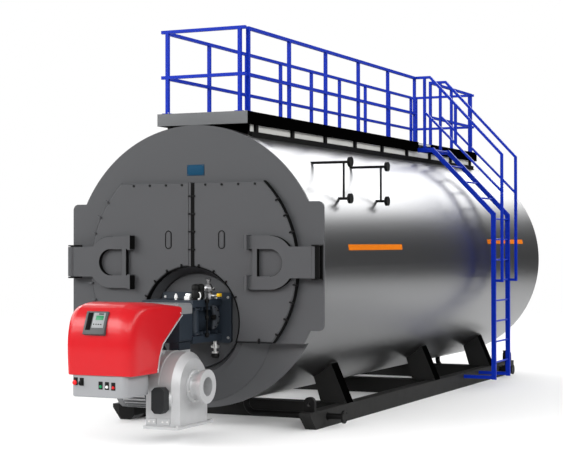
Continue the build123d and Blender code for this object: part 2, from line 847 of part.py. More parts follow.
# water level columns
with BuildPart() as level_columns:
    for y in column_y:
        with BuildSketch(Plane.XY.offset(column_z[0])):
            with Locations((column_x, y)):
                Circle(column_r)
        extrude(amount=column_z[1] - column_z[0])
        with BuildSketch(Plane.YZ.offset(column_root_x)):
            with Locations((y, column_z[0]), (y, column_z[1])):
                Circle(column_pipe_r)
        extrude(amount=column_end_x - column_root_x)
        with BuildSketch(Plane.YZ.offset(column_end_x)):
            with Locations((y, column_z[0]), (y, column_z[1])):
                Circle(column_disc_r)
        extrude(amount=column_disc_t)
    with BuildSketch(at_y(shell_front)):
        with Locations((0, axis_z)):
            Circle(shell_r)
    extrude(amount=-shell_length, mode=Mode.SUBTRACT)
save(level_columns.part, "level_columns")

# drains
for name, y, x in (("drain_front", drain_y[0], drain_drop_x[0]), ("drain_rear", drain_y[1], drain_drop_x[1])):
    with BuildPart() as drain:
        with BuildLine(at_y(y)) as route:
            FilletPolyline((x, drain_top_z), (x, drain_z), (drain_end_x, drain_z), radius=drain_bend)
        with BuildSketch(Plane.XY.offset(drain_top_z)):
            with Locations((x, y)):
                Circle(drain_r)
        sweep(path=route.wires()[0])
        with BuildSketch(Plane.YZ.offset(drain_end_x - drain_flange_t)):
            with Locations((y, drain_z)):
                Circle(drain_flange_r)
                with PolarLocations(drain_pcd / 2, drain_bolts, start_angle=180 / drain_bolts):
                    Circle(drain_bolt_r, mode=Mode.SUBTRACT)
        extrude(amount=drain_flange_t)
        if name == "drain_rear":
            with BuildSketch(Plane.YZ.offset(valve_x - valve_length / 2)):
                with Locations((y, drain_z)):
                    Circle(valve_r)
            extrude(amount=valve_length)
            with BuildSketch(Plane.XY.offset(drain_z)):
                with Locations((valve_x, y)):
                    Circle(stem_r)
            extrude(amount=wheel_z - drain_z - wheel_rim_r)
        with BuildSketch(at_y(shell_front)):
            with Locations((0, axis_z)):
                Circle(shell_r)
        extrude(amount=-shell_length, mode=Mode.SUBTRACT)
    save(drain.part, name)

with BuildPart() as drain_handwheel:
    with BuildSketch(Plane.XY.offset(wheel_z - wheel_rim_r)):
        with Locations((valve_x, drain_y[1])):
            Circle(wheel_r)
            Circle(wheel_r - 2 * wheel_rim_r, mode=Mode.SUBTRACT)
            Rectangle(2 * wheel_r - wheel_rim_r, wheel_spoke)
            Rectangle(wheel_spoke, 2 * wheel_r - wheel_rim_r)
            Circle(wheel_hub_r)
    extrude(amount=2 * wheel_rim_r)
save(drain_handwheel.part, "drain_handwheel")
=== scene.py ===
import bmesh
import bpy
import json
import math
from mathutils import Matrix, Vector


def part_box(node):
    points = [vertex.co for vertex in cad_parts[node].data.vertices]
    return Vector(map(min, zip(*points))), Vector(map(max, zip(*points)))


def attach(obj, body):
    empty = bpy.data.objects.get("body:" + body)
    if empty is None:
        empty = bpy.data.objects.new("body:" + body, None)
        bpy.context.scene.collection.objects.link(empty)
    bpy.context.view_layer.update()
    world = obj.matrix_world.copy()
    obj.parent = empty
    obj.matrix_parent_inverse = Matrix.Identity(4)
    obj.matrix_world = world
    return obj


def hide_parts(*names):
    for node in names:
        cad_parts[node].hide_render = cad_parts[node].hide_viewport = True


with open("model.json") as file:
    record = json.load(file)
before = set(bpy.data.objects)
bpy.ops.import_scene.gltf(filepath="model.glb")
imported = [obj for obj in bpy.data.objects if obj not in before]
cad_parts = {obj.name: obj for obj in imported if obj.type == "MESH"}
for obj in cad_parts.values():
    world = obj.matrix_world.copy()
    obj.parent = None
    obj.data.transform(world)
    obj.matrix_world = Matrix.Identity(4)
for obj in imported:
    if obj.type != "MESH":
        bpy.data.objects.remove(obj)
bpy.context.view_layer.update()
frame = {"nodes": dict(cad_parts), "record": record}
print("frame loaded with", len(frame["nodes"]), "nodes")


# where the main parts of the boiler are
def middle(node):
    low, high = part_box(node)
    return (low + high) / 2


shellLow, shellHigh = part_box("shell")
axisZ = middle("shell").z
shellR = (shellHigh.x - shellLow.x) / 2
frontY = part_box("smokebox_plate")[0].y
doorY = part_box("right_door")[0].y
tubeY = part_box("tube_plate")[0].y
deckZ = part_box("platform_deck")[1].z
burnerZ = middle("burner_flange").z
mouthZ = middle("burner_plate").z


class Flow:  # a shader socket that takes Python arithmetic
    def __init__(self, graph, socket):
        self.graph = graph
        self.socket = socket

    def maths(self, operation, other, swap=False):
        pair = (other, self) if swap else (self, other)
        return self.graph.node("Math", {"operation": operation}, {0: pair[0], 1: pair[1]})

    def __add__(self, other):
        return self.maths("ADD", other)

    def __sub__(self, other):
        return self.maths("SUBTRACT", other)

    def __rsub__(self, other):
        return self.maths("SUBTRACT", other, True)

    def __mul__(self, other):
        return self.maths("MULTIPLY", other)

    __radd__ = __add__
    __rmul__ = __mul__


class Graph:  # the node calls that the materials and the sky need
    def __init__(self, tree):
        self.nodes = tree.nodes
        self.links = tree.links

    def node(self, kind, settings=None, inputs=None, output=0):
        made = self.nodes.new("ShaderNode" + kind)
        for name, value in (settings or {}).items():
            setattr(made, name, value)
        for key, value in (inputs or {}).items():
            if isinstance(value, Flow):
                self.links.new(value.socket, made.inputs[key])
            else:
                made.inputs[key].default_value = value
        return Flow(self, made.outputs[output])

    def place(self, kind="Object"):
        return self.node("TexCoord", output=kind)

    def along(self, axis, kind="Object"):
        return self.node("SeparateXYZ", {}, {0: self.place(kind)}, axis)

    def rise(self, value, low, high):  # 0 up to low, 1 from high
        span = {"Value": value, "From Min": low, "From Max": high}
        return self.node("MapRange", {"interpolation_type": "SMOOTHSTEP"}, span)

    def noise(self, scale, detail, stretch=(1, 1, 1)):
        spot = self.node("Mapping", {}, {"Vector": self.place(), "Scale": stretch})
        return self.node("TexNoise", {}, {"Vector": spot, "Scale": scale, "Detail": detail})

    def blend(self, factor, first, second):  # two colours
        return self.node("Mix", {"data_type": "RGBA"}, {0: factor, 6: first, 7: second}, 2)


class Finish(Graph):
    def __init__(self, name, constants):
        self.material = bpy.data.materials.new(name)
        self.material.use_nodes = True
        super().__init__(self.material.node_tree)
        self.shader = self.nodes["Principled BSDF"]
        for socket, value in constants.items():
            self.shader.inputs[socket].default_value = value

    def feed(self, socket, value):
        self.links.new(value.socket, self.shader.inputs[socket])

    def past(self, tone, zone):  # another colour past a place on one axis
        axis, edge, other = zone
        step = self.rise(self.along(axis), edge - 0.0005, edge + 0.0005)
        return self.blend(step, tone, shade(other, 1.0))

    def bump(self, height, strength, distance=0.001):
        relief = {"Height": height, "Strength": strength, "Distance": distance}
        self.feed("Normal", self.node("Bump", {}, relief))


greyTone = (0.053, 0.0545, 0.058)
steelTone = (0.018, 0.025, 0.035)
paleTone = (0.36, 0.37, 0.38)
skirtTone = (0.15, 0.154, 0.158)
silverTone = (0.45, 0.454, 0.46)
blackTone = (0.0035, 0.0035, 0.0035)
skidTone = (0.018, 0.018, 0.0176)
# near black, used as painted shade
shadeBlackTone = (0.0008, 0.0008, 0.0008)
redTone = (0.47, 0.0035, 0.008)


def shade(colour, gain):
    return tuple(min(1.0, c * gain) for c in colour) + (1.0,)


def paint(name, colour, rough, drift=0.1, peel=0.15, coat=0.0, gloss=0.3, zone=None):
    made = Finish(name, {"Coat Weight": coat, "Coat Roughness": 0.1, "Specular IOR Level": gloss})
    cloud = made.noise(0.9, 5.0)
    grime = made.noise(7.0, 6.0)
    tone = made.blend(cloud * 0.6 + grime * 0.4, shade(colour, 1 - drift), shade(colour, 1 + drift))
    made.feed("Base Color", made.past(tone, zone) if zone else tone)
    made.feed("Roughness", grime * 0.14 + (rough - 0.07))
    made.bump(made.noise(140.0, 2.0), peel)  # orange peel
    return made.material


def metal(name, colour, rough, grain=0.2, metallic=0.9, zone=None):
    made = Finish(name, {"Metallic": metallic})
    cloud = made.noise(5.0, 5.0)
    tone = made.blend(cloud, shade(colour, 0.88), shade(colour, 1.08))
    made.feed("Base Color", made.past(tone, zone) if zone else tone)
    made.feed("Roughness", made.noise(24.0, 4.0) * 0.16 + (rough - 0.08))
    made.bump(made.noise(380.0, 3.0), grain)  # sand-cast grain
    return made.material


sheetSet = {
    "dark": (0.157, 0.159, 0.162), "light": (0.176, 0.178, 0.182), "lines": (2.0, 60.0, 2.0),
    "rough": 0.2745, "roughLines": 0.008, "roughCloud": 0.016, "plateRough": 0.5,
}


def polishedSheet(name, skinFrom=None):
    made = Finish(name, {"Metallic": 1.0})
    rub = made.noise(1.0, 4.0, sheetSet["lines"])  # polishing lines run round the shell
    cloud = made.noise(0.45, 3.0)
    tone = made.blend(cloud * 0.7 + rub * 0.3, shade(sheetSet["dark"], 1.0), shade(sheetSet["light"], 1.0))
    dull = rub * sheetSet["roughLines"] + cloud * sheetSet["roughCloud"] + sheetSet["rough"]
    if skinFrom:  # plain grey plate in front of the skin
        skin = made.rise(made.along("Y"), skinFrom, skinFrom + 0.001)
        tone = made.blend(skin, shade(greyTone, 1.0), tone)
        dull = dull * skin + (1 - skin) * sheetSet["plateRough"]
        made.feed("Metallic", skin)
    made.feed("Base Color", tone)
    made.feed("Roughness", dull)
    made.bump(rub, 0.002)
    return made.material


def glass(name, colour, glow=0.0):
    made = Finish(name, {"Roughness": 0.35, "Emission Strength": glow, "Specular IOR Level": 0.3})
    dust = made.noise(60.0, 3.0)
    made.feed("Base Color", made.blend(dust, shade(colour, 0.9), shade(colour, 1.1)))
    made.shader.inputs["Emission Color"].default_value = (*colour, 1)
    return made.material


finishes = {  # one for each slot of the record
    "cladding": polishedSheet("claddingSheet"),
    "front_grey": paint("frontGrey", greyTone, 0.55),
    "burner_steel": paint("burnerSteel", steelTone, 0.42),
    "light_grey": paint("lightGrey", paleTone, 0.42),
    "burner_red": paint("burnerRed", redTone, 0.36, drift=0.04, peel=0.04, coat=0.25, gloss=0.2),
    "cast_silver": metal("castSilver", silverTone, 0.45, metallic=0.4),
    "black_paint": paint("blackPaint", blackTone, 0.5, gloss=0.12),
    "rail_blue": paint("railBlue", (0.002, 0.021, 0.34), 0.4, drift=0.08, peel=0.05, gloss=0.1),
}
# the platform frame keeps its light grey on the front face and is painted shade, near black, past it
skirtShadeZone = ("Y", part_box("platform_frame")[0].y + 0.012, shadeBlackTone)
# the deck's underside is painted lighter than its top, as painted light
deckLitUndersideZone = ("Z", deckZ - 0.012, paleTone)
collarZone = ("Z", burnerZ + 0.08, (0.2, 0.205, 0.21))
fanZone = ("Z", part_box("burner_collar")[0].z - 0.085, steelTone)
skidPaint = paint("skidPaint", skidTone, 0.55, gloss=0.06)
ownFinish = {  # nodes that differ from their slot
    "platform_frame": paint("frameSkirtShaded", skirtTone, 0.6, gloss=0.0, zone=skirtShadeZone),
    "platform_deck": paint("deckPlateLitUnderside", (0.7, 0.7, 0.68), 0.55, zone=deckLitUndersideZone),
    "burner_collar": paint("collarPaint", steelTone, 0.42, zone=collarZone),
    "fan_housing": metal("fanCasting", silverTone, 0.45, metallic=0.4, zone=fanZone),
    "tube_plate": polishedSheet("tubePlateSkin", tubeY + 0.001),
    "saddle_legs": paint("legPaint", skidTone, 0.55, gloss=0.08),
    "skid_beam_left": skidPaint,
    "skid_beam_right": skidPaint,
    "cross_members": skidPaint,
    "control_box": paint("boxPaint", (0.26, 0.266, 0.275), 0.42, gloss=0.2),
    "damper_actuator": paint("actuatorPaint", (0.015, 0.016, 0.017), 0.5, gloss=0.15),
    "platform_supports": paint("supportPaint", blackTone, 0.6, gloss=0.03),
}
# pale, partly painted light
litSheetPale = paint("litSheetPale", (0.5, 0.5, 0.48), 0.6, gloss=0.1)
bright = metal("brightSteel", (0.42, 0.42, 0.43), 0.28, grain=0.05, metallic=1.0)
zinc = metal("zincBolt", (0.7, 0.7, 0.69), 0.32, grain=0.05)
# near black sheets of painted shade
shadeSheetBlack = paint("shadeSheetBlack", shadeBlackTone, 0.7, gloss=0.0)
# black rubber, also used for strips of painted shade
rubberAndShade = paint("blackRubberAndShade", (0.004, 0.004, 0.004), 0.7, gloss=0.05)
orange = paint("stripeOrange", (0.57, 0.14, 0.002), 0.5, gloss=0.03)
plateBlue = paint("plateBlue", (0.008, 0.048, 0.095), 0.5, gloss=0.05)
camGrey = paint("camGrey", (0.045, 0.05, 0.058), 0.4)
motorGrey = paint("motorGrey", (0.16, 0.165, 0.17), 0.45)
yellow = paint("yellowTap", (0.78, 0.46, 0.01), 0.4)
whitePlug = paint("whitePlug", (0.75, 0.75, 0.74), 0.45)
panelGrey = paint("panelGrey", (0.055, 0.058, 0.06), 0.5)
panelFace = paint("panelFace", (0.24, 0.25, 0.255), 0.45)
lcdGreen = glass("lcdGreen", (0.0, 0.16, 0.055), 0.15)
lampGreen = glass("lampGreen", (0.0, 0.24, 0.08))
lampRed = glass("lampRed", (0.6, 0.004, 0.006))
black = finishes["black_paint"]
silver = finishes["cast_silver"]
steel = finishes["burner_steel"]
grey = finishes["front_grey"]
pale = finishes["light_grey"]
print("finishes made")

for part in frame["record"]["subparts"]:
    node = frame["nodes"][part["node"]]
    node.data.materials.clear()
    node.data.materials.append(ownFinish.get(part["node"], finishes[part["material_slot"]]))


# shapes are made at the origin and then set in place
def move(x, y, z):
    return Matrix.Translation((x, y, z))


def turn(degrees, axis="Z"):
    return Matrix.Rotation(math.radians(degrees), 4, axis)


def mirror(side):  # -1 takes a shape to the left side
    return Matrix.Diagonal((side, 1, 1, 1))


def front(x, y, z):  # local x right, y up, z towards the burner end
    return move(x, y, z) @ turn(90, "X")


def right(x, y, z):  # faces +X
    return move(x, y, z) @ turn(90) @ turn(90, "X")


def back(x, y, z):  # faces +Y
    return move(x, y, z) @ turn(180) @ turn(90, "X")


rimAngle = 0.6  # edges sharper than this are softened
mergeDist = 0.00001


def soften(part, width, steps=2):
    if not width:
        return
    rims = [e for e in part.edges if e.calc_face_angle(0) > rimAngle]
    bmesh.ops.bevel(part, geom=rims, offset=width, offset_type="OFFSET", affect="EDGES",
                    segments=steps, profile=0.5, material=-1)


def box(low, high, edge=0.004, steps=2):
    part = bmesh.new()
    low, high = Vector(low), Vector(high)
    spot = Matrix.Translation((low + high) / 2) @ Matrix.Diagonal((*(high - low), 1))
    bmesh.ops.create_cube(part, size=1, matrix=spot)
    soften(part, edge, steps)
    return part


def drum(radius, length, sides=32, edge=0.0):
    part = bmesh.new()
    bmesh.ops.create_cone(part, cap_ends=True, segments=sides, radius1=radius, radius2=radius,
                          depth=length, matrix=move(0, 0, length / 2))
    soften(part, edge)
    return part


def turned(profile, sides=32):  # (radius, height) points spun about z
    part = bmesh.new()
    line = [part.verts.new((r, 0, h)) for r, h in profile]
    edges = [part.edges.new(pair) for pair in zip(line, line[1:])]
    bmesh.ops.spin(part, geom=line + edges, cent=(0, 0, 0), axis=(0, 0, 1), dvec=(0, 0, 0),
                   angle=2 * math.pi, steps=sides, use_merge=True)
    bmesh.ops.remove_doubles(part, verts=part.verts, dist=mergeDist)
    return part


def plate(outline, depth, edge=0.0, steps=2):  # outline in x and y, raised along z
    part = bmesh.new()
    face = part.faces.new([part.verts.new((x, y, 0)) for x, y in outline])
    grown = bmesh.ops.extrude_face_region(part, geom=[face])
    top = [g for g in grown["geom"] if isinstance(g, bmesh.types.BMVert)]
    bmesh.ops.translate(part, verts=top, vec=(0, 0, depth))
    bmesh.ops.recalc_face_normals(part, faces=part.faces)
    soften(part, edge, steps)
    return part


def arcBand(inner, outer, depth, start, end, steps=48):
    part = bmesh.new()
    corners = ((inner, 0, 0), (outer, 0, 0), (outer, 0, depth), (inner, 0, depth))
    face = part.faces.new([part.verts.new(c) for c in corners])
    bmesh.ops.rotate(part, verts=part.verts, cent=(0, 0, 0), matrix=turn(start).to_3x3())
    bmesh.ops.spin(part, geom=part.verts[:] + part.edges[:] + [face], cent=(0, 0, 0), axis=(0, 0, 1),
                   dvec=(0, 0, 0), angle=math.radians(end - start), steps=steps)
    return part


def bolt(size):  # hexagon head on its washer
    part = drum(size * 0.62, size * 0.12, 16)
    bmesh.ops.create_cone(part, cap_ends=True, segments=6, radius1=size * 0.56, radius2=size * 0.5,
                          depth=size * 0.4, matrix=move(0, 0, size * 0.32))
    return part


def pipe(points, radius, closed=False, sides=3):
    curve = bpy.data.curves.new("pipe", "CURVE")
    curve.dimensions = "3D"
    curve.bevel_depth = radius
    curve.bevel_resolution = sides
    curve.use_fill_caps = True
    line = curve.splines.new("POLY")
    line.points.add(len(points) - 1)
    for point, spot in zip(line.points, points):
        point.co = (*spot, 1)
    line.use_cyclic_u = closed
    holder = bpy.data.objects.new("pipe", curve)
    mesh = bpy.data.meshes.new_from_object(holder)
    part = bmesh.new()
    part.from_mesh(mesh)
    bmesh.ops.remove_doubles(part, verts=part.verts, dist=mergeDist)
    bpy.data.objects.remove(holder)
    bpy.data.curves.remove(curve)
    bpy.data.meshes.remove(mesh)
    return part


class Piece:  # a mesh under construction, in the boiler's frame
    def __init__(self, name, slot, looks, body="boiler"):
        self.name = name
        self.slot = slot
        self.looks = looks
        self.body = body
        self.shape = bmesh.new()

    def add(self, part, spot=None, look=0):
        bmesh.ops.transform(part, matrix=spot or Matrix(), verts=part.verts)
        bmesh.ops.recalc_face_normals(part, faces=part.faces)
        for face in part.faces:
            face.material_index = look
            face.smooth = True
        mesh = bpy.data.meshes.new("part")
        part.to_mesh(mesh)
        part.free()
        self.shape.from_mesh(mesh)
        bpy.data.meshes.remove(mesh)

    def show(self, *stands):
        mesh = bpy.data.meshes.new(self.name)
        self.shape.to_mesh(mesh)
        self.shape.free()
        for look in self.looks:
            mesh.materials.append(look)
        mesh.set_sharp_from_angle(angle=math.radians(35))
        made = bpy.data.objects.new(self.name, mesh)
        bpy.context.scene.collection.objects.link(made)
        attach(made, self.body)
        if stands:
            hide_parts(*stands)
        return made


# black strips of painted shade on the two front doors, along the rim, the burner mouth, the split and the
# ledge, with the sizes of the right one
doorShadeSet = {
    "thick": 0.07, "seat": 0.001, "soft": 0.001,
    "rimR": 1.4, "rimArc": (-38.9, 46.1), "rimOut": 0.01, "rimDepth": 0.06,
    "mouthR": 0.655, "mouthArc": (-20.7, 88.7), "mouthIn": 0.006, "mouthDepth": 0.074,
    "split": {1: (0.013, 0.057, 0.07), -1: (-0.008, 0.017, 0.015)},  # from, to and depth
    "splitOut": 0.004, "splitTop": axisZ + 1.004,
    "lineX": (0.612, 1.085), "lineZ": (1.062, 1.068), "lineOut": 0.003,
}


def shadeDoor(side, body):
    size = doorShadeSet
    flip = mirror(side)
    look = 0 if side > 0 else 1  # painted shade, black on the right door and grey on the left one
    backY = doorY + size["thick"]
    doorShadeStrips = Piece(body + "_painted_shade", "black_paint", [rubberAndShade, grey], body)
    # painted shade on the side of the door rim
    inner, outer = size["rimR"] - size["seat"], size["rimR"] + size["rimOut"]
    rim = arcBand(inner, outer, size["rimDepth"], *size["rimArc"])
    doorShadeStrips.add(rim, flip @ front(0, backY, axisZ), look)
    # painted shade on the wall of the burner mouth
    inner, outer = size["mouthR"] - size["mouthIn"], size["mouthR"] + size["seat"]
    mouth = arcBand(inner, outer, size["mouthDepth"], *size["mouthArc"])
    doorShadeStrips.add(mouth, flip @ front(0, backY, mouthZ))
    # painted shade in the split between the doors
    start, end, deep = size["split"][side]
    low = (start, doorY - size["splitOut"], mouthZ + size["mouthR"])
    high = (end, doorY + deep, size["splitTop"])
    doorShadeStrips.add(box(low, high, size["soft"], 1), flip, look)
    # a painted shadow line along the ledge
    low = (size["lineX"][0], doorY - size["lineOut"], size["lineZ"][0])
    high = (size["lineX"][1], backY, size["lineZ"][1])
    doorShadeStrips.add(box(low, high, size["soft"], 1), flip)
    doorShadeStrips.show()


# peep slots, their rims and covers
peepSet = {
    "x": {1: 0.424, -1: 0.3}, "z": axisZ + 0.323, "half": (0.04, 0.106), "rim": 0.0055, "rimOut": 0.002,
    "coverIn": 0.012, "coverThick": 0.005, "coverSoft": 0.002,
}


def racetrack(halfWide, halfHigh, steps=10):
    ends = []
    for sign in (1, -1):
        for k in range(steps + 1):
            angle = math.pi * k / steps + (0 if sign > 0 else math.pi)
            rise = sign * (halfHigh - halfWide) + halfWide * math.sin(angle)
            ends.append((halfWide * math.cos(angle), rise))
    return ends


def peepAt(side):
    return mirror(side) @ front(peepSet["x"][side], doorY, peepSet["z"])


def coverPeep(side, body):
    cover = Piece(body + "_peep_cover", "front_grey", [grey], body)
    outline = racetrack(*[half - peepSet["coverIn"] for half in peepSet["half"]])
    cover.add(plate(outline, peepSet["coverThick"], peepSet["coverSoft"], 1), peepAt(side))
    cover.show()


# clamps and bolts of the doors
clampSet = {
    "block": (0.062, 0.018, 0.02), "soft": 0.003, "bolt": 0.018, "boltAt": 0.4,
    "rimOut": 0.004, "rimAngles": (-34.3, -25.6, -17.0, -8.4, 17.0, 25.6, 34.3),
    "mouthOut": 0.018, "mouthAngles": (80.0, 62.0, 44.5, 26.0), "mouthShare": 0.65,
    "splitUp": (0.206, 0.42, 0.632, 0.844), "splitX": {1: (0.03, 0.068), -1: (-0.006, 0.022)},
    "lowAt": (0.92, 1.085), "topBolt": 0.024, "topZ": axisZ + 0.978,
    "topX": {1: (0.205, 0.425, 0.645, 0.865), -1: (0.115, 0.335, 0.56, 0.785)},
}


def clampDoor(side, body):
    size = clampSet
    flip = mirror(side)
    clamps = Piece(body + "_clamps", "black_paint", [black, grey], body)
    long, wide, thick = size["block"]

    def block(start, end, spot, look=0):
        part = box((start, -wide / 2, 0), (end, wide / 2, thick), size["soft"])
        clamps.add(part, flip @ spot, look)

    def clamp(spot, share=1.0, look=0):
        half = long * share / 2
        block(-half, half, spot, look)
        clamps.add(bolt(size["bolt"]), flip @ spot @ move(-half * size["boltAt"], 0, thick), look)

    # the clamps on the rim are black on the right door as painted shade, grey on the left one
    for angle in size["rimAngles"]:
        spot = front(0, doorY, axisZ) @ turn(angle) @ move(doorShadeSet["rimR"] + size["rimOut"], 0, 0)
        clamp(spot, look=0 if side > 0 else 1)
    for angle in size["mouthAngles"]:
        spot = front(0, doorY, mouthZ) @ turn(angle) @ move(doorShadeSet["mouthR"] + size["mouthOut"], 0, 0)
        clamp(spot, size["mouthShare"])
    for height in size["splitUp"]:
        block(*size["splitX"][side], front(0, doorY, axisZ + height))
    clamp(front(size["lowAt"][0], doorY, size["lowAt"][1]) @ turn(-90))
    for x in size["topX"][side]:
        clamps.add(bolt(size["topBolt"]), flip @ front(x, doorY, size["topZ"]))
    rim = [(u, v, peepSet["rimOut"]) for u, v in racetrack(*peepSet["half"])]
    clamps.add(pipe(rim, peepSet["rim"], True, 2), peepAt(side))
    clamps.show()


# black strips of painted shade on the edges of the hinge arms
armShadeSet = {
    "block": 0.05, "lip": 0.012, "eyeX": 0.31, "eyeR": 0.16, "barX": {-1: 0.085, 1: 0.145},
    "arcs": ((38.0, 90.0), (-90.0, -36.0)), "tip": (-0.004, 0.002), "gap": 0.002,
    "sheet": 0.003, "seat": 0.001, "soft": 0.001,
    "pinR": 0.048, "strap": (-0.125, 0.24), "sleeveArc": {1: (-72.0, 30.0), -1: (-20.0, 30.0)},
}


def shadeArm(side, body):
    size = armShadeSet
    flip = mirror(side)
    gap, sheet, seat = size["gap"], size["sheet"], size["seat"]
    arm = body.replace("door", "hinge_arm")
    edges = Piece(arm + "_shade_strips", "black_paint", [rubberAndShade], body)
    low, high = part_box(arm)
    tip = min(abs(low.x), abs(high.x))
    armFront = low.y + size["block"]
    mid = (low.z + high.z) / 2
    reach = (high.z - low.z) / 2
    eyeR = size["eyeR"]
    for sign in (-1, 1):  # painted shade strips: the end of a prong, then a bar across the eye
        ends = sorted((mid + sign * eyeR, mid + sign * reach))
        start = (tip + size["tip"][0], low.y + gap, ends[0])
        end = (tip + size["tip"][1], doorY - gap, ends[1])
        edges.add(box(start, end, size["soft"], 1), flip)
        barX = tip + size["barX"][sign]
        start = (barX - sheet, armFront + gap, mid - eyeR)
        end = (barX + sheet, doorY - 2 * gap, mid + eyeR)
        edges.add(box(start, end, size["soft"], 1), flip)
    # painted shade on the eye's inner wall and its outer arcs
    eyeAt = flip @ front(tip + size["eyeX"], doorY - gap, mid)
    depth = doorY - armFront - 2 * gap
    edges.add(arcBand(eyeR - sheet, eyeR + seat, depth, -90, 90, 32), eyeAt)
    outerR = reach - size["lip"]
    for start, end in size["arcs"]:
        edges.add(arcBand(outerR - seat, outerR + sheet, depth, start, end, 16), eyeAt)
    pinR = size["pinR"]
    pinX = max(abs(low.x), abs(high.x)) - pinR
    bottom, top = size["strap"]
    # painted shade round the hinge pin
    sleeve = arcBand(pinR - seat, pinR + sheet, top - bottom, *size["sleeveArc"][side], 16)
    edges.add(sleeve, flip @ move(pinX, high.y - pinR, axisZ + bottom))
    edges.show()


for side, body in ((1, "right_door"), (-1, "left_door")):
    shadeDoor(side, body)
    clampDoor(side, body)
    shadeArm(side, body)
    coverPeep(side, body)
print("doors dressed")

# blank plate on the front
plateSet = {
    "x": (-0.087, 0.148), "z": (axisZ + 1.094, axisZ + 1.224), "thick": 0.006, "soft": 0.002,
    "screw": ((0, 0.004), (0.004, 0.0035), (0.006, 0.0015), (0.006, 0)), "screwIn": 0.014,
    "border": 0.0018, "borderIn": 0.007,
}
blankPlate = Piece("blank_plate", "rail_blue", [plateBlue, camGrey])
faceY = frontY - plateSet["thick"]
left, far = plateSet["x"]
low, high = plateSet["z"]
blankPlate.add(box((left, faceY, low), (far, frontY, high), plateSet["soft"]))
inset = plateSet["screwIn"]
for x in (left + inset, far - inset):
    for z in (low + inset, high - inset):
        blankPlate.add(turned(plateSet["screw"], 16), front(x, faceY, z), 1)
inset = plateSet["borderIn"]
border = [(left + inset, faceY, low + inset), (far - inset, faceY, low + inset),
          (far - inset, faceY, high - inset), (left + inset, faceY, high - inset)]
blankPlate.add(pipe(border, plateSet["border"], True, 2))
blankPlate.show()

# orange stripes on the shell
stripeSet = {
    "runs": ((0.85, 2.65, 6.6), (6.4, 8.35, 9.1)),  # from, to, and the lower edge in degrees
    "wide": 2.4, "proud": 0.0025, "seat": 0.001,
}
stripes = Piece("shell_stripes", "cladding", [orange])
for start, end, low in stripeSet["runs"]:
    inner, outer = shellR - stripeSet["seat"], shellR + stripeSet["proud"]
    strip = arcBand(inner, outer, end - start, low, low + stripeSet["wide"], 6)
    stripes.add(strip, front(0, frontY + end, axisZ))
stripes.show()


# burner hood, a moulding with large soft edges
hoodSet = {
    "outer": ((-1.965, -0.54), (-1.99, -0.3), (-1.99, -0.06), (-1.9, 0.235), (-1.52, 0.25),
              (-0.9, 0.185)),
    "inner": ((-1.44, -0.54), (-1.4, -0.37), (-1.33, -0.23), (-1.2, -0.135), (-1.06, -0.035),
              (-0.9, 0.075)),
    "shares": (0.0, 0.3, 1.0), "stations": (-0.485, -0.37, 0.17, 0.36), "crown": 0.035, "crease": 0.92,
    "near": 0.001, "levels": 3, "trim": 0.007, "screws": ((-1.43, -0.5), (-0.94, 0.1)), "screwIn": 0.004,
    "screw": ((0, 0.008), (0.008, 0.006), (0.011, 0.002), (0.011, 0)),
}


def makeHood():
    stations = hoodSet["stations"]
    ends = (stations[0], stations[-1])
    near = hoodSet["near"]
    part = bmesh.new()
    outer = [Vector((stations[0], frontY + y, burnerZ + z)) for y, z in hoodSet["outer"]]
    inner = [Vector((stations[0], frontY + y, burnerZ + z)) for y, z in hoodSet["inner"]]
    rows = []
    for share in hoodSet["shares"]:  # rows of points from the front and top to the open edge
        line = [part.verts.new(a.lerp(b, share)) for a, b in zip(outer, inner)]
        rows.append([part.edges.new(pair) for pair in zip(line, line[1:])])
    for pair in zip(rows, rows[1:]):
        bmesh.ops.bridge_loops(part, edges=pair[0] + pair[1])
    cap = part.faces[:]
    for start, end in zip(stations, stations[1:]):
        grown = bmesh.ops.extrude_face_region(part, geom=cap)["geom"]
        cap = [g for g in grown if isinstance(g, bmesh.types.BMFace)]
        moved = [g for g in grown if isinstance(g, bmesh.types.BMVert)]
        bmesh.ops.translate(part, verts=moved, vec=(end - start, 0, 0))
    tops = [a.z for a in outer[2:-1]]
    for v in part.verts:  # the top falls away to both sides
        if min(abs(v.co.x - x) for x in ends) < near and min(abs(v.co.z - z) for z in tops) < near:
            v.co.z -= hoodSet["crown"]
    lips = [(p.y, p.z) for p in inner]
    crease = part.edges.layers.float.new("crease_edge")
    for e in part.edges:
        spots = [(v.co.y, v.co.z) for v in e.verts]
        onLip = all(min(math.dist(s, lip) for lip in lips) < near for s in spots)
        onSide = all(min(abs(v.co.x - x) for x in ends) < near for v in e.verts)
        flat = all(abs(v.co.z - outer[0].z) < near for v in e.verts)
        rear = all(abs(v.co.y - outer[-1].y) < near for v in e.verts)
        corner = len({round(f.normal.x, 1) for f in e.link_faces}) > 1
        if flat or (onLip and onSide) or (rear and corner):
            e[crease] = hoodSet["crease"]
    piece = Piece("burner_hood", "burner_red", [finishes["burner_red"]])
    piece.add(part)
    hood = piece.show("burner_cover")
    rounding = hood.modifiers.new("rounding", "SUBSURF")
    rounding.levels = hoodSet["levels"]
    rounding.render_levels = hoodSet["levels"]
    trim = Piece("hood_trim", "light_grey", [pale, zinc])
    for x in ends:
        trim.add(pipe([(x, p.y, p.z) for p in inner], hoodSet["trim"], False, 2))
    for y, z in hoodSet["screws"]:
        spot = right(ends[1] - hoodSet["screwIn"], frontY + y, burnerZ + z)
        trim.add(turned(hoodSet["screw"], 16), spot, 1)
    trim.show()


makeHood()

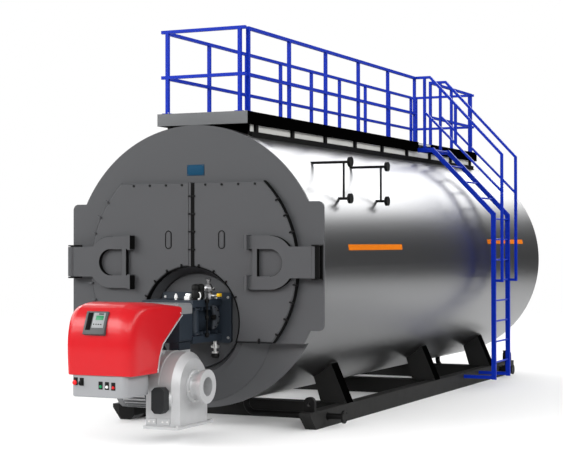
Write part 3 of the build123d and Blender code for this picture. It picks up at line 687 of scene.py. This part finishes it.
# control panel on the hood, each block with its corners and soft edge
panelSet = {
    "at": (-0.098, -6.864, 1.374), "lean": -22.0,
    "frame": ((-0.136, -0.131, -0.05), (0.136, 0.131, 0.014), 0.006),
    "face": ((-0.035, -0.06, 0.012), (0.112, 0.112, 0.018), 0.003),
    "window": ((-0.108, -0.085, 0.012), (-0.048, 0.112, 0.017), 0.002),
    "display": ((0.0, 0.028, 0.016), (0.096, 0.078, 0.021), 0.002),
    "bar": ((0.03, 0.09, 0.016), (0.09, 0.104, 0.02), 0.001),
    "keys": 4, "keyAt": (-0.012, -0.02, 0.017), "keyStep": 0.03,
    "key": ((0, 0.006), (0.006, 0.005), (0.008, 0)),
}
panel = Piece("control_panel", "black_paint", [panelGrey, panelFace, rubberAndShade, lcdGreen, black])
panelSpot = front(*panelSet["at"]) @ turn(panelSet["lean"], "X")
for look, name in enumerate(("frame", "face", "window", "display")):
    panel.add(box(*panelSet[name]), panelSpot, look)
for k in range(panelSet["keys"]):
    x, y, z = panelSet["keyAt"]
    panel.add(turned(panelSet["key"], 16), panelSpot @ move(x + panelSet["keyStep"] * k, y, z), 4)
panel.add(box(*panelSet["bar"]), panelSpot, 4)
panel.show()

# buttons and lamps on the control box
buttonSet = {
    "half": 0.026, "rise": (-0.03, 0.055), "thick": 0.004, "soft": 0.004, "out": 0.003,
    "mushroom": ((0, 0.034), (0.014, 0.033), (0.024, 0.028), (0.028, 0.02), (0.024, 0.016),
                 (0.012, 0.012), (0.012, 0)),
    "lamp": ((0, 0.016), (0.008, 0.015), (0.013, 0.011), (0.016, 0.004), (0.018, 0)),
    "row": ((-0.367, 0.725, "mushroom", 1), (-0.29, 0.722, "mushroom", 0), (-0.05, 0.69, "lamp", 2),
            (0.03, 0.688, "lamp", 3), (0.11, 0.684, "lamp", 1)),
}
buttons = Piece("control_buttons", "black_paint", [black, lampRed, lampGreen, whitePlug])
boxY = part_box("control_box")[0].y
for x, z, kind, look in buttonSet["row"]:
    low = (x - buttonSet["half"], boxY - buttonSet["thick"], z + buttonSet["rise"][0])
    high = (x + buttonSet["half"], boxY + buttonSet["thick"], z + buttonSet["rise"][1])
    buttons.add(box(low, high, buttonSet["soft"]))
    buttons.add(turned(buttonSet[kind], 24), front(x, boxY - buttonSet["out"], z), look)
buttons.show()
print("hood and controls made")

headLow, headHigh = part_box("burner_body")
headX, headY, headTop = headHigh


def onHead(x, y, z=0.0):  # a place on top of the burner head, y from its back
    return (x, headY + y, headTop + z)


# pressure switches and gas regulator on top of the burner head
trainSet = {
    "switches": ((0.265, -0.495), (0.265, -0.38)),
    "switch": ((0, 0), (0.034, 0), (0.034, 0.02), (0.047, 0.022), (0.047, 0.105), (0.044, 0.11),
               (0.044, 0.118), (0.047, 0.122), (0.047, 0.165), (0.04, 0.175), (0.02, 0.185), (0, 0.186)),
    "regulator": (0.275, -0.2),
    "dome": ((0, 0), (0.052, 0), (0.052, 0.016), (0.046, 0.02), (0.052, 0.035), (0.052, 0.075),
             (0.036, 0.085), (0.036, 0.1), (0.078, 0.104), (0.078, 0.128), (0.056, 0.132), (0.05, 0.15),
             (0.028, 0.178), (0.02, 0.184), (0.02, 0.212), (0.028, 0.214), (0.028, 0.236), (0.02, 0.24),
             (0, 0.24)),
    "bolts": 8, "bolt": 0.013, "boltCircle": 0.067, "boltUp": 0.128,
}
train = Piece("gas_train", "black_paint", [black, bright, zinc])
for spot in trainSet["switches"]:
    train.add(turned(trainSet["switch"], 32), move(*onHead(*spot)))
train.add(turned(trainSet["dome"], 40), move(*onHead(*trainSet["regulator"])), 1)
for k in range(trainSet["bolts"]):
    flange = move(*onHead(*trainSet["regulator"], trainSet["boltUp"]))
    spin = turn(360 / trainSet["bolts"] * k)
    train.add(bolt(trainSet["bolt"]), flange @ spin @ move(trainSet["boltCircle"], 0, 0), 2)
train.show("gas_fittings")

# plugs, lifting eye and yellow tap beside them
plugSet = {
    "nipple": ((0, 0.075), (0.008, 0.07), (0.018, 0.045), (0.024, 0.02), (0.014, 0.016), (0.014, 0)),
    "nippleAt": (0.0, -0.49), "soft": 0.006, "drumSoft": 0.003,
    "blocks": (((0.13, -0.53), (0.2, -0.48, 0.045)), ((0.1, -0.45), (0.17, -0.39, 0.07))),
    "eyeAt": (0.31, -0.5), "eyeUp": 0.05, "eyeHalf": (0.024, 0.04), "eyeWire": 0.006, "eyeSteps": 18,
    "eyeFoot": (0.014, 0.02), "tapAt": (0.325, -0.2, 0.04), "tap": (0.016, 0.1),
    "lever": ((0.4, -0.24, 0.03), (0.43, -0.15, 0.07)), "leverSoft": 0.008,
    "stubAt": (0.32, -0.1), "stub": (0.02, 0.05),
}
plugs = Piece("burner_head_plugs", "black_paint", [whitePlug, zinc, yellow])
plugs.add(turned(plugSet["nipple"], 24), move(*onHead(*plugSet["nippleAt"])))
for look, (low, high) in enumerate(plugSet["blocks"]):
    plugs.add(box(onHead(*low), onHead(*high), plugSet["soft"]), None, look)
eye = []
wide, tall = plugSet["eyeHalf"]
x, y, z = onHead(*plugSet["eyeAt"], plugSet["eyeUp"])
for k in range(plugSet["eyeSteps"]):
    angle = math.tau * k / plugSet["eyeSteps"]
    eye.append((x + wide * math.cos(angle), y, z + tall * math.sin(angle)))
plugs.add(pipe(eye, plugSet["eyeWire"], True, 2))
plugs.add(drum(*plugSet["eyeFoot"], 16, plugSet["drumSoft"]), move(*onHead(*plugSet["eyeAt"])), 1)
plugs.add(drum(*plugSet["tap"], 20, plugSet["drumSoft"]), right(*onHead(*plugSet["tapAt"])), 1)
low, high = plugSet["lever"]
plugs.add(box(onHead(*low), onHead(*high), plugSet["leverSoft"]), None, 2)
plugs.add(drum(*plugSet["stub"], 20, plugSet["drumSoft"]), move(*onHead(*plugSet["stubAt"])), 1)
plugs.show()

# burner head: flange bolts, cam disc, linkage, ribs and drain cock
headSet = {
    "flangeBolts": ((-0.43, -0.24), (0.43, -0.24), (-0.43, 0.24), (0.43, 0.24)), "flangeBolt": 0.026,
    "camY": -0.24, "camZ": 1.36, "camR": 0.14, "camTip": 0.02, "camThick": 0.03, "camSoft": 0.004,
    "camFrom": -95, "camStep": 10, "camSteps": 20, "hub": (0.03, 0.05, 24, 0.004),
    "pins": 5, "pinFrom": -80, "pinStep": 40, "pinIn": 0.025, "pinUp": 0.028,
    "pin": (0.008, 0.012, 12, 0.002),
    "rodX": 0.025, "rodY": -0.4, "rodZ": (1.13, 1.6), "rodR": 0.011, "knuckleZ": (1.16, 1.36, 1.56),
    "knuckle": ((0, -0.03), (0.02, -0.026), (0.026, -0.01), (0.026, 0.01), (0.02, 0.026), (0, 0.03)),
    "columnX": -0.09, "columnY": -0.52, "columnZ": 1.165,
    "column": ((0, 0), (0.075, 0), (0.075, 0.02), (0.06, 0.03), (0.06, 0.28), (0.075, 0.29), (0.075, 0.31),
               (0, 0.31)),
    "ribX": (-0.14, -0.004), "ribY": (-0.62, -0.45, -0.28, -0.1), "ribZ": (1.155, 1.445),
    "ribHalf": 0.008, "ribHigh": 0.045, "ribSoft": 0.003,
    "cockX": -0.03, "cockY": -0.1, "cockZ": -0.04,
    "valve": ((0.016, 0), (0.03, 0.005), (0.03, 0.05), (0.018, 0.055), (0.018, 0.085), (0.04, 0.09),
              (0.04, 0.11), (0, 0.112)),
    "neck": (0.022, 0.05, 16, 0.003), "neckDown": 0.004, "arm": (0.018, 0.1, 16, 0.003), "armDown": 0.03,
    "knob": ((0, 0), (0.03, 0), (0.048, 0.012), (0.052, 0.04), (0.04, 0.06), (0, 0.066)), "knobDown": 0.105,
}
head = Piece("burner_head_fittings", "burner_steel", [steel, zinc, black, camGrey])
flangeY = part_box("burner_flange")[0].y
for x, z in headSet["flangeBolts"]:
    head.add(bolt(headSet["flangeBolt"]), front(x, flangeY, burnerZ + z), 1)
camAt = right(headX, headY + headSet["camY"], headSet["camZ"])
cam = [(headSet["camTip"], 0)]
for k in range(headSet["camSteps"]):
    angle = math.radians(headSet["camStep"] * k + headSet["camFrom"])
    cam.append((headSet["camR"] * math.cos(angle), headSet["camR"] * math.sin(angle)))
head.add(plate(cam, headSet["camThick"], headSet["camSoft"]), camAt, 3)
head.add(drum(*headSet["hub"]), camAt, 2)
for k in range(headSet["pins"]):
    spin = turn(headSet["pinStep"] * k + headSet["pinFrom"])
    spot = camAt @ spin @ move(headSet["camR"] - headSet["pinIn"], 0, headSet["pinUp"])
    head.add(drum(*headSet["pin"]), spot, 2)
rodAt = (headX + headSet["rodX"], headY + headSet["rodY"])
head.add(pipe([(*rodAt, z) for z in headSet["rodZ"]], headSet["rodR"], False, 3), None, 2)
for z in headSet["knuckleZ"]:
    head.add(turned(headSet["knuckle"], 20), move(*rodAt, z), 2)
columnAt = move(headX + headSet["columnX"], headY + headSet["columnY"], headSet["columnZ"])
head.add(turned(headSet["column"], 32), columnAt)
for y in headSet["ribY"]:
    for z in headSet["ribZ"]:
        low = (headX + headSet["ribX"][0], headY + y - headSet["ribHalf"], z)
        high = (headX + headSet["ribX"][1], headY + y + headSet["ribHalf"], z + headSet["ribHigh"])
        head.add(box(low, high, headSet["ribSoft"]))
x, y, z = headX + headSet["cockX"], headY + headSet["cockY"], headLow.z + headSet["cockZ"]
hanging = move(x, y, z) @ turn(180, "X")
armLong = headSet["arm"][1]
head.add(turned(headSet["valve"], 24), hanging, 1)
head.add(drum(*headSet["neck"]), move(x, y, z - headSet["neckDown"]), 1)
head.add(drum(*headSet["arm"]), right(x - armLong / 2, y, z - headSet["armDown"]), 1)
head.add(turned(headSet["knob"], 24), hanging @ move(0, 0, headSet["knobDown"]), 2)
head.show()
print("burner head dressed")

# fan: boss, bolts, feet, lug, seams and the actuator's collar
fanSet = {
    "boss": ((0.149, -0.004), (0.186, -0.004), (0.186, 0.026), (0.18, 0.032), (0.158, 0.036), (0.149, 0.05),
             (0.149, -0.004)),
    "bolts": 6, "boltFrom": 15, "bossBolt": 0.02, "bossCircle": 0.168, "bossUp": 0.032,
    "ringBolt": 0.018, "ringCircle": 0.17, "ringIn": 0.045,
    "footIn": 0.025, "footUp": 0.03, "footBolt": 0.022, "frontIn": 0.03,
    "padX": (0.25, 0.42), "padHalf": 0.055, "padY": (-0.016, 0.005), "padZ": (0.235, 0.3), "padSoft": 0.008,
    "padBolt": 0.018, "padBoltX": (-0.03, 0.03), "padBoltY": -0.015, "padBoltZ": 0.268,
    "lug": ((0.19, -6.06, 0.985), (0.24, -5.98, 1.035), 0.012),
    "lugPin": (0.022, 0.07, 20, 0.004), "lugPinAt": (0.18, -6.02, 1.01),
    "seams": ((0.31, (0.376, 0.39, 0.024, 20, 175)), (0.175, (0.376, 0.388, 0.03, 2, 178))),
    "seamSteps": 40,
    "collar": ((0.062, 0), (0.1, 0), (0.1, 0.012), (0.088, 0.02), (0.082, 0.045), (0.062, 0.048),
               (0.062, 0)),
    "collarBolts": 4, "collarFrom": 45, "collarBolt": 0.014, "collarCircle": 0.092, "collarUp": 0.012,
}
fanLow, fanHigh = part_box("fan_housing")
ringLow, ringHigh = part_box("inlet_ring")
fanMid = middle("inlet_ring")
fanFront = fanLow.y + fanSet["frontIn"]
fan = Piece("fan_fittings", "cast_silver", [silver, zinc])
fan.add(turned(fanSet["boss"], 48), right(ringLow.x, fanMid.y, fanMid.z))
bossFace = right(ringLow.x + fanSet["bossUp"], fanMid.y, fanMid.z)
ringBack = right(ringHigh.x - fanSet["ringIn"], fanMid.y, fanMid.z) @ turn(180, "X")
for k in range(fanSet["bolts"]):
    spin = turn(360 / fanSet["bolts"] * k + fanSet["boltFrom"])
    fan.add(bolt(fanSet["bossBolt"]), bossFace @ spin @ move(fanSet["bossCircle"], 0, 0), 1)
    fan.add(bolt(fanSet["ringBolt"]), ringBack @ spin @ move(fanSet["ringCircle"], 0, 0), 1)
for x in (fanLow.x + fanSet["footIn"], fanHigh.x - fanSet["footIn"]):
    for y in (fanLow.y + fanSet["footIn"], fanHigh.y - fanSet["footIn"]):
        fan.add(bolt(fanSet["footBolt"]), move(x, y, fanLow.z + fanSet["footUp"]), 1)
for x in fanSet["padX"]:
    low = (x - fanSet["padHalf"], fanFront + fanSet["padY"][0], fanSet["padZ"][0])
    high = (x + fanSet["padHalf"], fanFront + fanSet["padY"][1], fanSet["padZ"][1])
    fan.add(box(low, high, fanSet["padSoft"]))
    for dx in fanSet["padBoltX"]:
        spot = front(x + dx, fanFront + fanSet["padBoltY"], fanSet["padBoltZ"])
        fan.add(bolt(fanSet["padBolt"]), spot, 1)
fan.add(box(*fanSet["lug"]))
fan.add(drum(*fanSet["lugPin"]), right(*fanSet["lugPinAt"]))
for x, seam in fanSet["seams"]:
    fan.add(arcBand(*seam, fanSet["seamSteps"]), right(x, fanMid.y, fanMid.z))
stem = middle("damper_actuator")
fan.add(turned(fanSet["collar"], 40), front(stem.x, fanFront, stem.z))
collarFace = front(stem.x, fanFront - fanSet["collarUp"], stem.z)
for k in range(fanSet["collarBolts"]):
    spin = turn(fanSet["collarFrom"] + 360 / fanSet["collarBolts"] * k)
    fan.add(bolt(fanSet["collarBolt"]), collarFace @ spin @ move(fanSet["collarCircle"], 0, 0), 1)
fan.show()

# motor: cooling fins and cowl
motorSet = {
    "fins": 36, "finX": (0.11, 0.405), "finIn": 0.004, "finOut": 0.02, "finHalf": 0.003, "finSoft": 0.0012,
    "boxFrom": 240, "boxTo": 300, "cowlOut": 0.008, "cowlDeep": 0.1,
    "rings": (0.08, 0.12, 0.16, 0.2), "ringWide": 0.009, "ringDeep": (-0.009, -0.004),
}
motorLow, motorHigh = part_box("fan_motor")
motorR = (motorHigh.z - motorLow.z) / 2
motorAt = move(motorLow.x, fanMid.y, fanMid.z)
motor = Piece("motor_fins", "cast_silver", [motorGrey, black])
for k in range(motorSet["fins"]):
    angle = 360 / motorSet["fins"] * k
    if motorSet["boxFrom"] < angle < motorSet["boxTo"]:
        continue  # the terminal box is here
    low = (motorSet["finX"][0], -motorSet["finHalf"], motorR - motorSet["finIn"])
    high = (motorSet["finX"][1], motorSet["finHalf"], motorR + motorSet["finOut"])
    motor.add(box(low, high, motorSet["finSoft"], 1), motorAt @ turn(angle - 90, "X"))
cowlR = motorR + motorSet["cowlOut"]
cowlEnd = motorSet["cowlDeep"]
cowl = [(0, cowlEnd), (cowlR - 0.004, cowlEnd), (cowlR, cowlEnd - 0.005), (cowlR, 0.03),
        (cowlR - 0.03, 0.002), (cowlR - 0.04, -0.004), (0.06, -0.006), (0, -0.006)]
motor.add(turned(cowl, 48), motorAt @ turn(90, "Y"))
low, high = motorSet["ringDeep"]
for inner in motorSet["rings"]:
    outer = inner + motorSet["ringWide"]
    ring = [(inner, low), (outer, low), (outer, high), (inner, high), (inner, low)]
    motor.add(turned(ring, 36), motorAt @ turn(90, "Y"), 1)
motor.show()

adaptorSet = {"bolts": 8, "boltFrom": 22, "bolt": 0.018, "boltIn": 0.014}
adaptor = Piece("motor_adaptor_bolts", "burner_steel", [zinc])
adaptorFace = move(motorHigh.x, fanMid.y, fanMid.z) @ turn(-90, "Y")
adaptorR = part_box("motor_adaptor")[1].z - fanMid.z
for k in range(adaptorSet["bolts"]):
    spin = turn(360 / adaptorSet["bolts"] * k + adaptorSet["boltFrom"])
    adaptor.add(bolt(adaptorSet["bolt"]), adaptorFace @ spin @ move(adaptorR - adaptorSet["boltIn"], 0, 0))
adaptor.show()
print("fan and motor dressed")

# grating on the platform deck
gratingSet = {
    "step": 0.05, "half": 0.555, "barHalf": 0.003, "barHigh": 0.004, "seat": 0.001,
    "ties": 11, "tieFrom": -0.5, "tieStep": 0.1, "tieHalf": 0.004, "tieHigh": 0.003, "tieIn": 0.01,
}
deckLow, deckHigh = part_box("platform_deck")
grating = Piece("deck_grating", "light_grey", [pale])
seatZ = deckZ - gratingSet["seat"]
for k in range(int((deckHigh.y - deckLow.y) / gratingSet["step"])):
    y = deckLow.y + gratingSet["step"] * (k + 0.5)
    low = (-gratingSet["half"], y - gratingSet["barHalf"], seatZ)
    high = (gratingSet["half"], y + gratingSet["barHalf"], deckZ + gratingSet["barHigh"])
    grating.add(box(low, high, 0))
for k in range(gratingSet["ties"]):
    x = gratingSet["tieFrom"] + gratingSet["tieStep"] * k
    low = (x - gratingSet["tieHalf"], deckLow.y + gratingSet["tieIn"], seatZ)
    high = (x + gratingSet["tieHalf"], deckHigh.y - gratingSet["tieIn"], deckZ + gratingSet["tieHigh"])
    grating.add(box(low, high, 0))
grating.show()

# feet of the rail posts
footSet = {
    "sideX": 0.56, "sideY": (-4.55, 4.0), "gateY": (1.18, 1.92),
    "endX": (-0.5, 0.5), "endY": (-4.655, 4.105),
    "half": 0.055, "sideHalf": 0.04, "share": 0.8, "thick": 0.008, "soft": 0.002,
    "bolt": 0.014, "boltIn": 0.03, "boltY": (-0.033, 0.033),
}
sideX = footSet["sideX"]
start, end = footSet["sideY"]
gateStart, gateEnd = footSet["gateY"]
posts = [(sideX, start + k * (gateStart - start) / 5) for k in range(6)]
posts += [(sideX, gateEnd), (sideX, (gateEnd + end) / 2), (sideX, end)]
posts += [(-sideX, start + k * (end - start) / 8) for k in range(9)]
posts += [(x, y) for x in footSet["endX"] for y in footSet["endY"]]
feet = Piece("post_feet", "rail_blue", [finishes["rail_blue"], zinc])
footTop = deckZ + footSet["thick"]
reach = footSet["half"] * footSet["share"]
for x, y in posts:
    half = footSet["sideHalf"] if abs(x) == sideX else footSet["half"]
    feet.add(box((x - half, y - reach, deckZ), (x + half, y + reach, footTop), footSet["soft"], 1))
    for dy in footSet["boltY"]:
        feet.add(bolt(footSet["bolt"]), move(x - math.copysign(footSet["boltIn"], x), y + dy, footTop), 1)
feet.show()

# pale infill sheets between the platform and its support rails, their pale tone painted light for the lit
# gaps under the platform
underSet = {"inset": 0.035, "thick": 0.004, "railHigh": 0.07, "endGap": 0.02, "soft": 0.001}
supportLow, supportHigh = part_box("platform_supports")
sheets = Piece("platform_sheets", "light_grey", [litSheetPale])
for sign in (-1, 1):
    edge = sign * (supportHigh.x - underSet["inset"])
    ends = sorted((edge, edge - sign * underSet["thick"]))
    low = (ends[0], supportLow.y + underSet["endGap"], supportLow.z + underSet["railHigh"])
    high = (ends[1], supportHigh.y - underSet["endGap"], supportHigh.z)
    sheets.add(box(low, high, underSet["soft"], 1))
sheets.show()

# saddle legs: foot plates with their bolts, and black outer sheets of painted shade
legSet = {
    "y": (-3.3, 0.0, 2.65), "half": 0.1, "footX": (0.99, 1.35), "footHalf": 0.125, "footZ": (0.215, 0.23),
    "footSoft": 0.003, "bolt": 0.02, "boltIn": 0.03, "boltY": (-0.112, 0.112),
    "sheetHalf": 0.004, "sheetUp": 0.002, "sheetTop": 0.008, "sheetDown": (0.006, 0.01), "sheetIn": 0.001,
}
legs = Piece("leg_plates", "black_paint", [skidPaint, shadeSheetBlack])
bottom, top = legSet["footZ"]
for y in legSet["y"]:
    for sign in (-1, 1):
        low, high = sorted(sign * x for x in legSet["footX"])
        start, end = y - legSet["footHalf"], y + legSet["footHalf"]
        legs.add(box((low, start, bottom), (high, end, top), legSet["footSoft"]))
        for x in (low + legSet["boltIn"], high - legSet["boltIn"]):
            for dy in legSet["boltY"]:
                legs.add(bolt(legSet["bolt"]), move(x, y + dy, top))
legLow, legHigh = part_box("saddle_legs")
legTopX = math.sqrt(shellR ** 2 - (axisZ - legHigh.z) ** 2)
sheet = [(legHigh.x - legSet["sheetHalf"], legLow.z + legSet["sheetUp"]),
         (legHigh.x + legSet["sheetHalf"], legLow.z + legSet["sheetUp"]),
         (legTopX + legSet["sheetTop"], legHigh.z - legSet["sheetDown"][0]),
         (legTopX, legHigh.z - legSet["sheetDown"][1])]
for y in legSet["y"]:
    for sign in (-1, 1):
        spot = mirror(sign) @ front(0, y + legSet["half"] - legSet["sheetIn"], 0)
        legs.add(plate(sheet, 2 * legSet["half"] - 2 * legSet["sheetIn"]), spot, 1)
legs.show()
print("platform and legs dressed")

# rear: door bolts, handles, centre cover and flue bolts
rearSet = {
    "bolts": 20, "bolt": 0.036, "circle": 0.75, "seat": 0.002, "gripX": (-0.28, 0.28), "gripR": 0.014,
    "grip": ((-0.01, -0.12), (0.07, -0.1), (0.07, 0.1), (-0.01, 0.12)), "coverUp": 0.42,
    "cover": ((0, 0.03), (0.1, 0.03), (0.13, 0.02), (0.13, 0), (0, 0)),
    "flueBolts": 12, "flueBolt": 0.03, "flueCircle": 0.37, "flueSeat": 0.003,
}
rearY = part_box("rear_access_door")[1].y
rearMid = middle("rear_access_door")
rear = Piece("rear_fittings", "front_grey", [black, grey])
rearFace = back(rearMid.x, rearY - rearSet["seat"], rearMid.z)
for k in range(rearSet["bolts"]):
    spin = turn(360 / rearSet["bolts"] * k)
    rear.add(bolt(rearSet["bolt"]), rearFace @ spin @ move(rearSet["circle"], 0, 0))
for x in rearSet["gripX"]:
    grip = [(x, rearY + out, rearMid.z + up) for out, up in rearSet["grip"]]
    rear.add(pipe(grip, rearSet["gripR"], False, 3))
rear.add(turned(rearSet["cover"], 40), back(0, rearY, rearMid.z + rearSet["coverUp"]), 1)
flueFace = back(0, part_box("flue_outlet")[1].y - rearSet["flueSeat"], middle("flue_outlet").z)
for k in range(rearSet["flueBolts"]):
    spin = turn(360 / rearSet["flueBolts"] * k)
    rear.add(bolt(rearSet["flueBolt"]), flueFace @ spin @ move(rearSet["flueCircle"], 0, 0))
rear.show()

# tube ends behind the doors
tubeSet = {
    "pitch": 0.115, "radius": 0.036, "wall": 0.005, "out": 0.02, "plug": 0.003, "sides": 14, "rows": 12,
    "field": 1.24, "fieldZ": (-0.7, 0.9), "keepOff": 0.82, "middle": 0.12,
}


def inField(x, z):
    low, high = tubeSet["fieldZ"]
    clear = math.hypot(x, axisZ + z - burnerZ) >= tubeSet["keepOff"] and abs(x) >= tubeSet["middle"]
    return clear and math.hypot(x, z) <= tubeSet["field"] and low <= z <= high


tubes = Piece("tube_ends", "front_grey", [silver, rubberAndShade])
outer, out = tubeSet["radius"], tubeSet["out"]
inner = outer - tubeSet["wall"]
tube = [(inner, 0), (outer, 0), (outer, out), (inner, out), (inner, 0)]
rowStep = tubeSet["pitch"] * math.sqrt(3) / 2
span = range(-tubeSet["rows"], tubeSet["rows"] + 1)
for row in span:
    for col in span:
        x = (col + 0.5 * (row % 2)) * tubeSet["pitch"]
        z = row * rowStep
        if inField(x, z):
            tubes.add(turned(tube, tubeSet["sides"]), front(x, tubeY, axisZ + z))
            tubes.add(drum(inner, tubeSet["plug"], tubeSet["sides"]), front(x, tubeY, axisZ + z), 1)
tubes.show()
print("rear and tube plate dressed")


# studio
studio = {
    "cameraAt": (8.4297, -19.9071, 2.2202), "yaw": 23.784, "pitch": 0.738, "roll": -0.12,
    "lens": 91.2865, "sensor": 36.0, "shift": -0.0897, "clip": 500.0,
    "floorHalf": 30.0, "floorTone": 0.86, "floorFade": (5.0, 26.0),
    "skyDark": 0.1, "skyBright": 6.2, "skyTop": 0.5, "skyRise": (0.268, 0.34), "skyFall": (0.45, 0.62),
    "keyFrom": (-11.0, -20.0, 9.0), "keyTo": (0, -3.5, 1.8), "keySize": 9.0, "keyPower": 1300.0,
}


def setCamera():
    data = bpy.data.cameras.new("camera")
    data.lens = studio["lens"]
    data.sensor_width = studio["sensor"]
    data.shift_x = studio["shift"]
    data.clip_end = studio["clip"]
    camera = bpy.data.objects.new("camera", data)
    spin = turn(studio["yaw"]) @ turn(90 + studio["pitch"], "X") @ turn(studio["roll"])
    camera.matrix_world = move(*studio["cameraAt"]) @ spin
    bpy.context.scene.collection.objects.link(camera)
    bpy.context.scene.camera = camera


def setSky():
    world = bpy.data.worlds.new("studioSky")
    world.use_nodes = True
    bpy.context.scene.world = world
    sky = Graph(world.node_tree)
    height = sky.along("Z", "Generated")
    up = sky.rise(height, *studio["skyRise"]) * (studio["skyBright"] - studio["skyDark"])
    down = sky.rise(height, *studio["skyFall"]) * (studio["skyBright"] - studio["skyTop"])
    light = up - down + studio["skyDark"]
    seen = sky.node("LightPath", output="Is Camera Ray")
    strength = light + seen * (1.0 - light)  # the camera sees a plain white backdrop
    glow = sky.nodes["Background"]
    glow.inputs["Color"].default_value = (1, 1, 1, 1)
    sky.links.new(strength.socket, glow.inputs["Strength"])


def setKey():
    data = bpy.data.lights.new("softKey", "AREA")
    data.energy = studio["keyPower"]
    data.size = studio["keySize"]
    key = bpy.data.objects.new("softKey", data)
    aim = Vector(studio["keyTo"]) - Vector(studio["keyFrom"])
    key.matrix_world = move(*studio["keyFrom"]) @ aim.to_track_quat("-Z", "Y").to_matrix().to_4x4()
    bpy.context.scene.collection.objects.link(key)


def layFloor():
    shape = bmesh.new()
    bmesh.ops.create_grid(shape, x_segments=1, y_segments=1, size=studio["floorHalf"])
    mesh = bpy.data.meshes.new("studioFloor")
    shape.to_mesh(mesh)
    shape.free()
    floor = bpy.data.objects.new("studioFloor", mesh)
    tone = studio["floorTone"]
    paper = Finish("floorPaper", {"Base Color": (tone, tone, tone, 1), "Roughness": 0.9})
    reach = paper.node("VectorMath", {"operation": "LENGTH"}, {0: paper.place()}, "Value")
    paper.feed("Alpha", 1 - paper.rise(reach, *studio["floorFade"]))  # the floor fades out
    mesh.materials.append(paper.material)
    bpy.context.scene.collection.objects.link(floor)


setCamera()
setSky()
setKey()
layFloor()
bpy.context.scene.view_settings.view_transform = "Standard"
print("studio set")
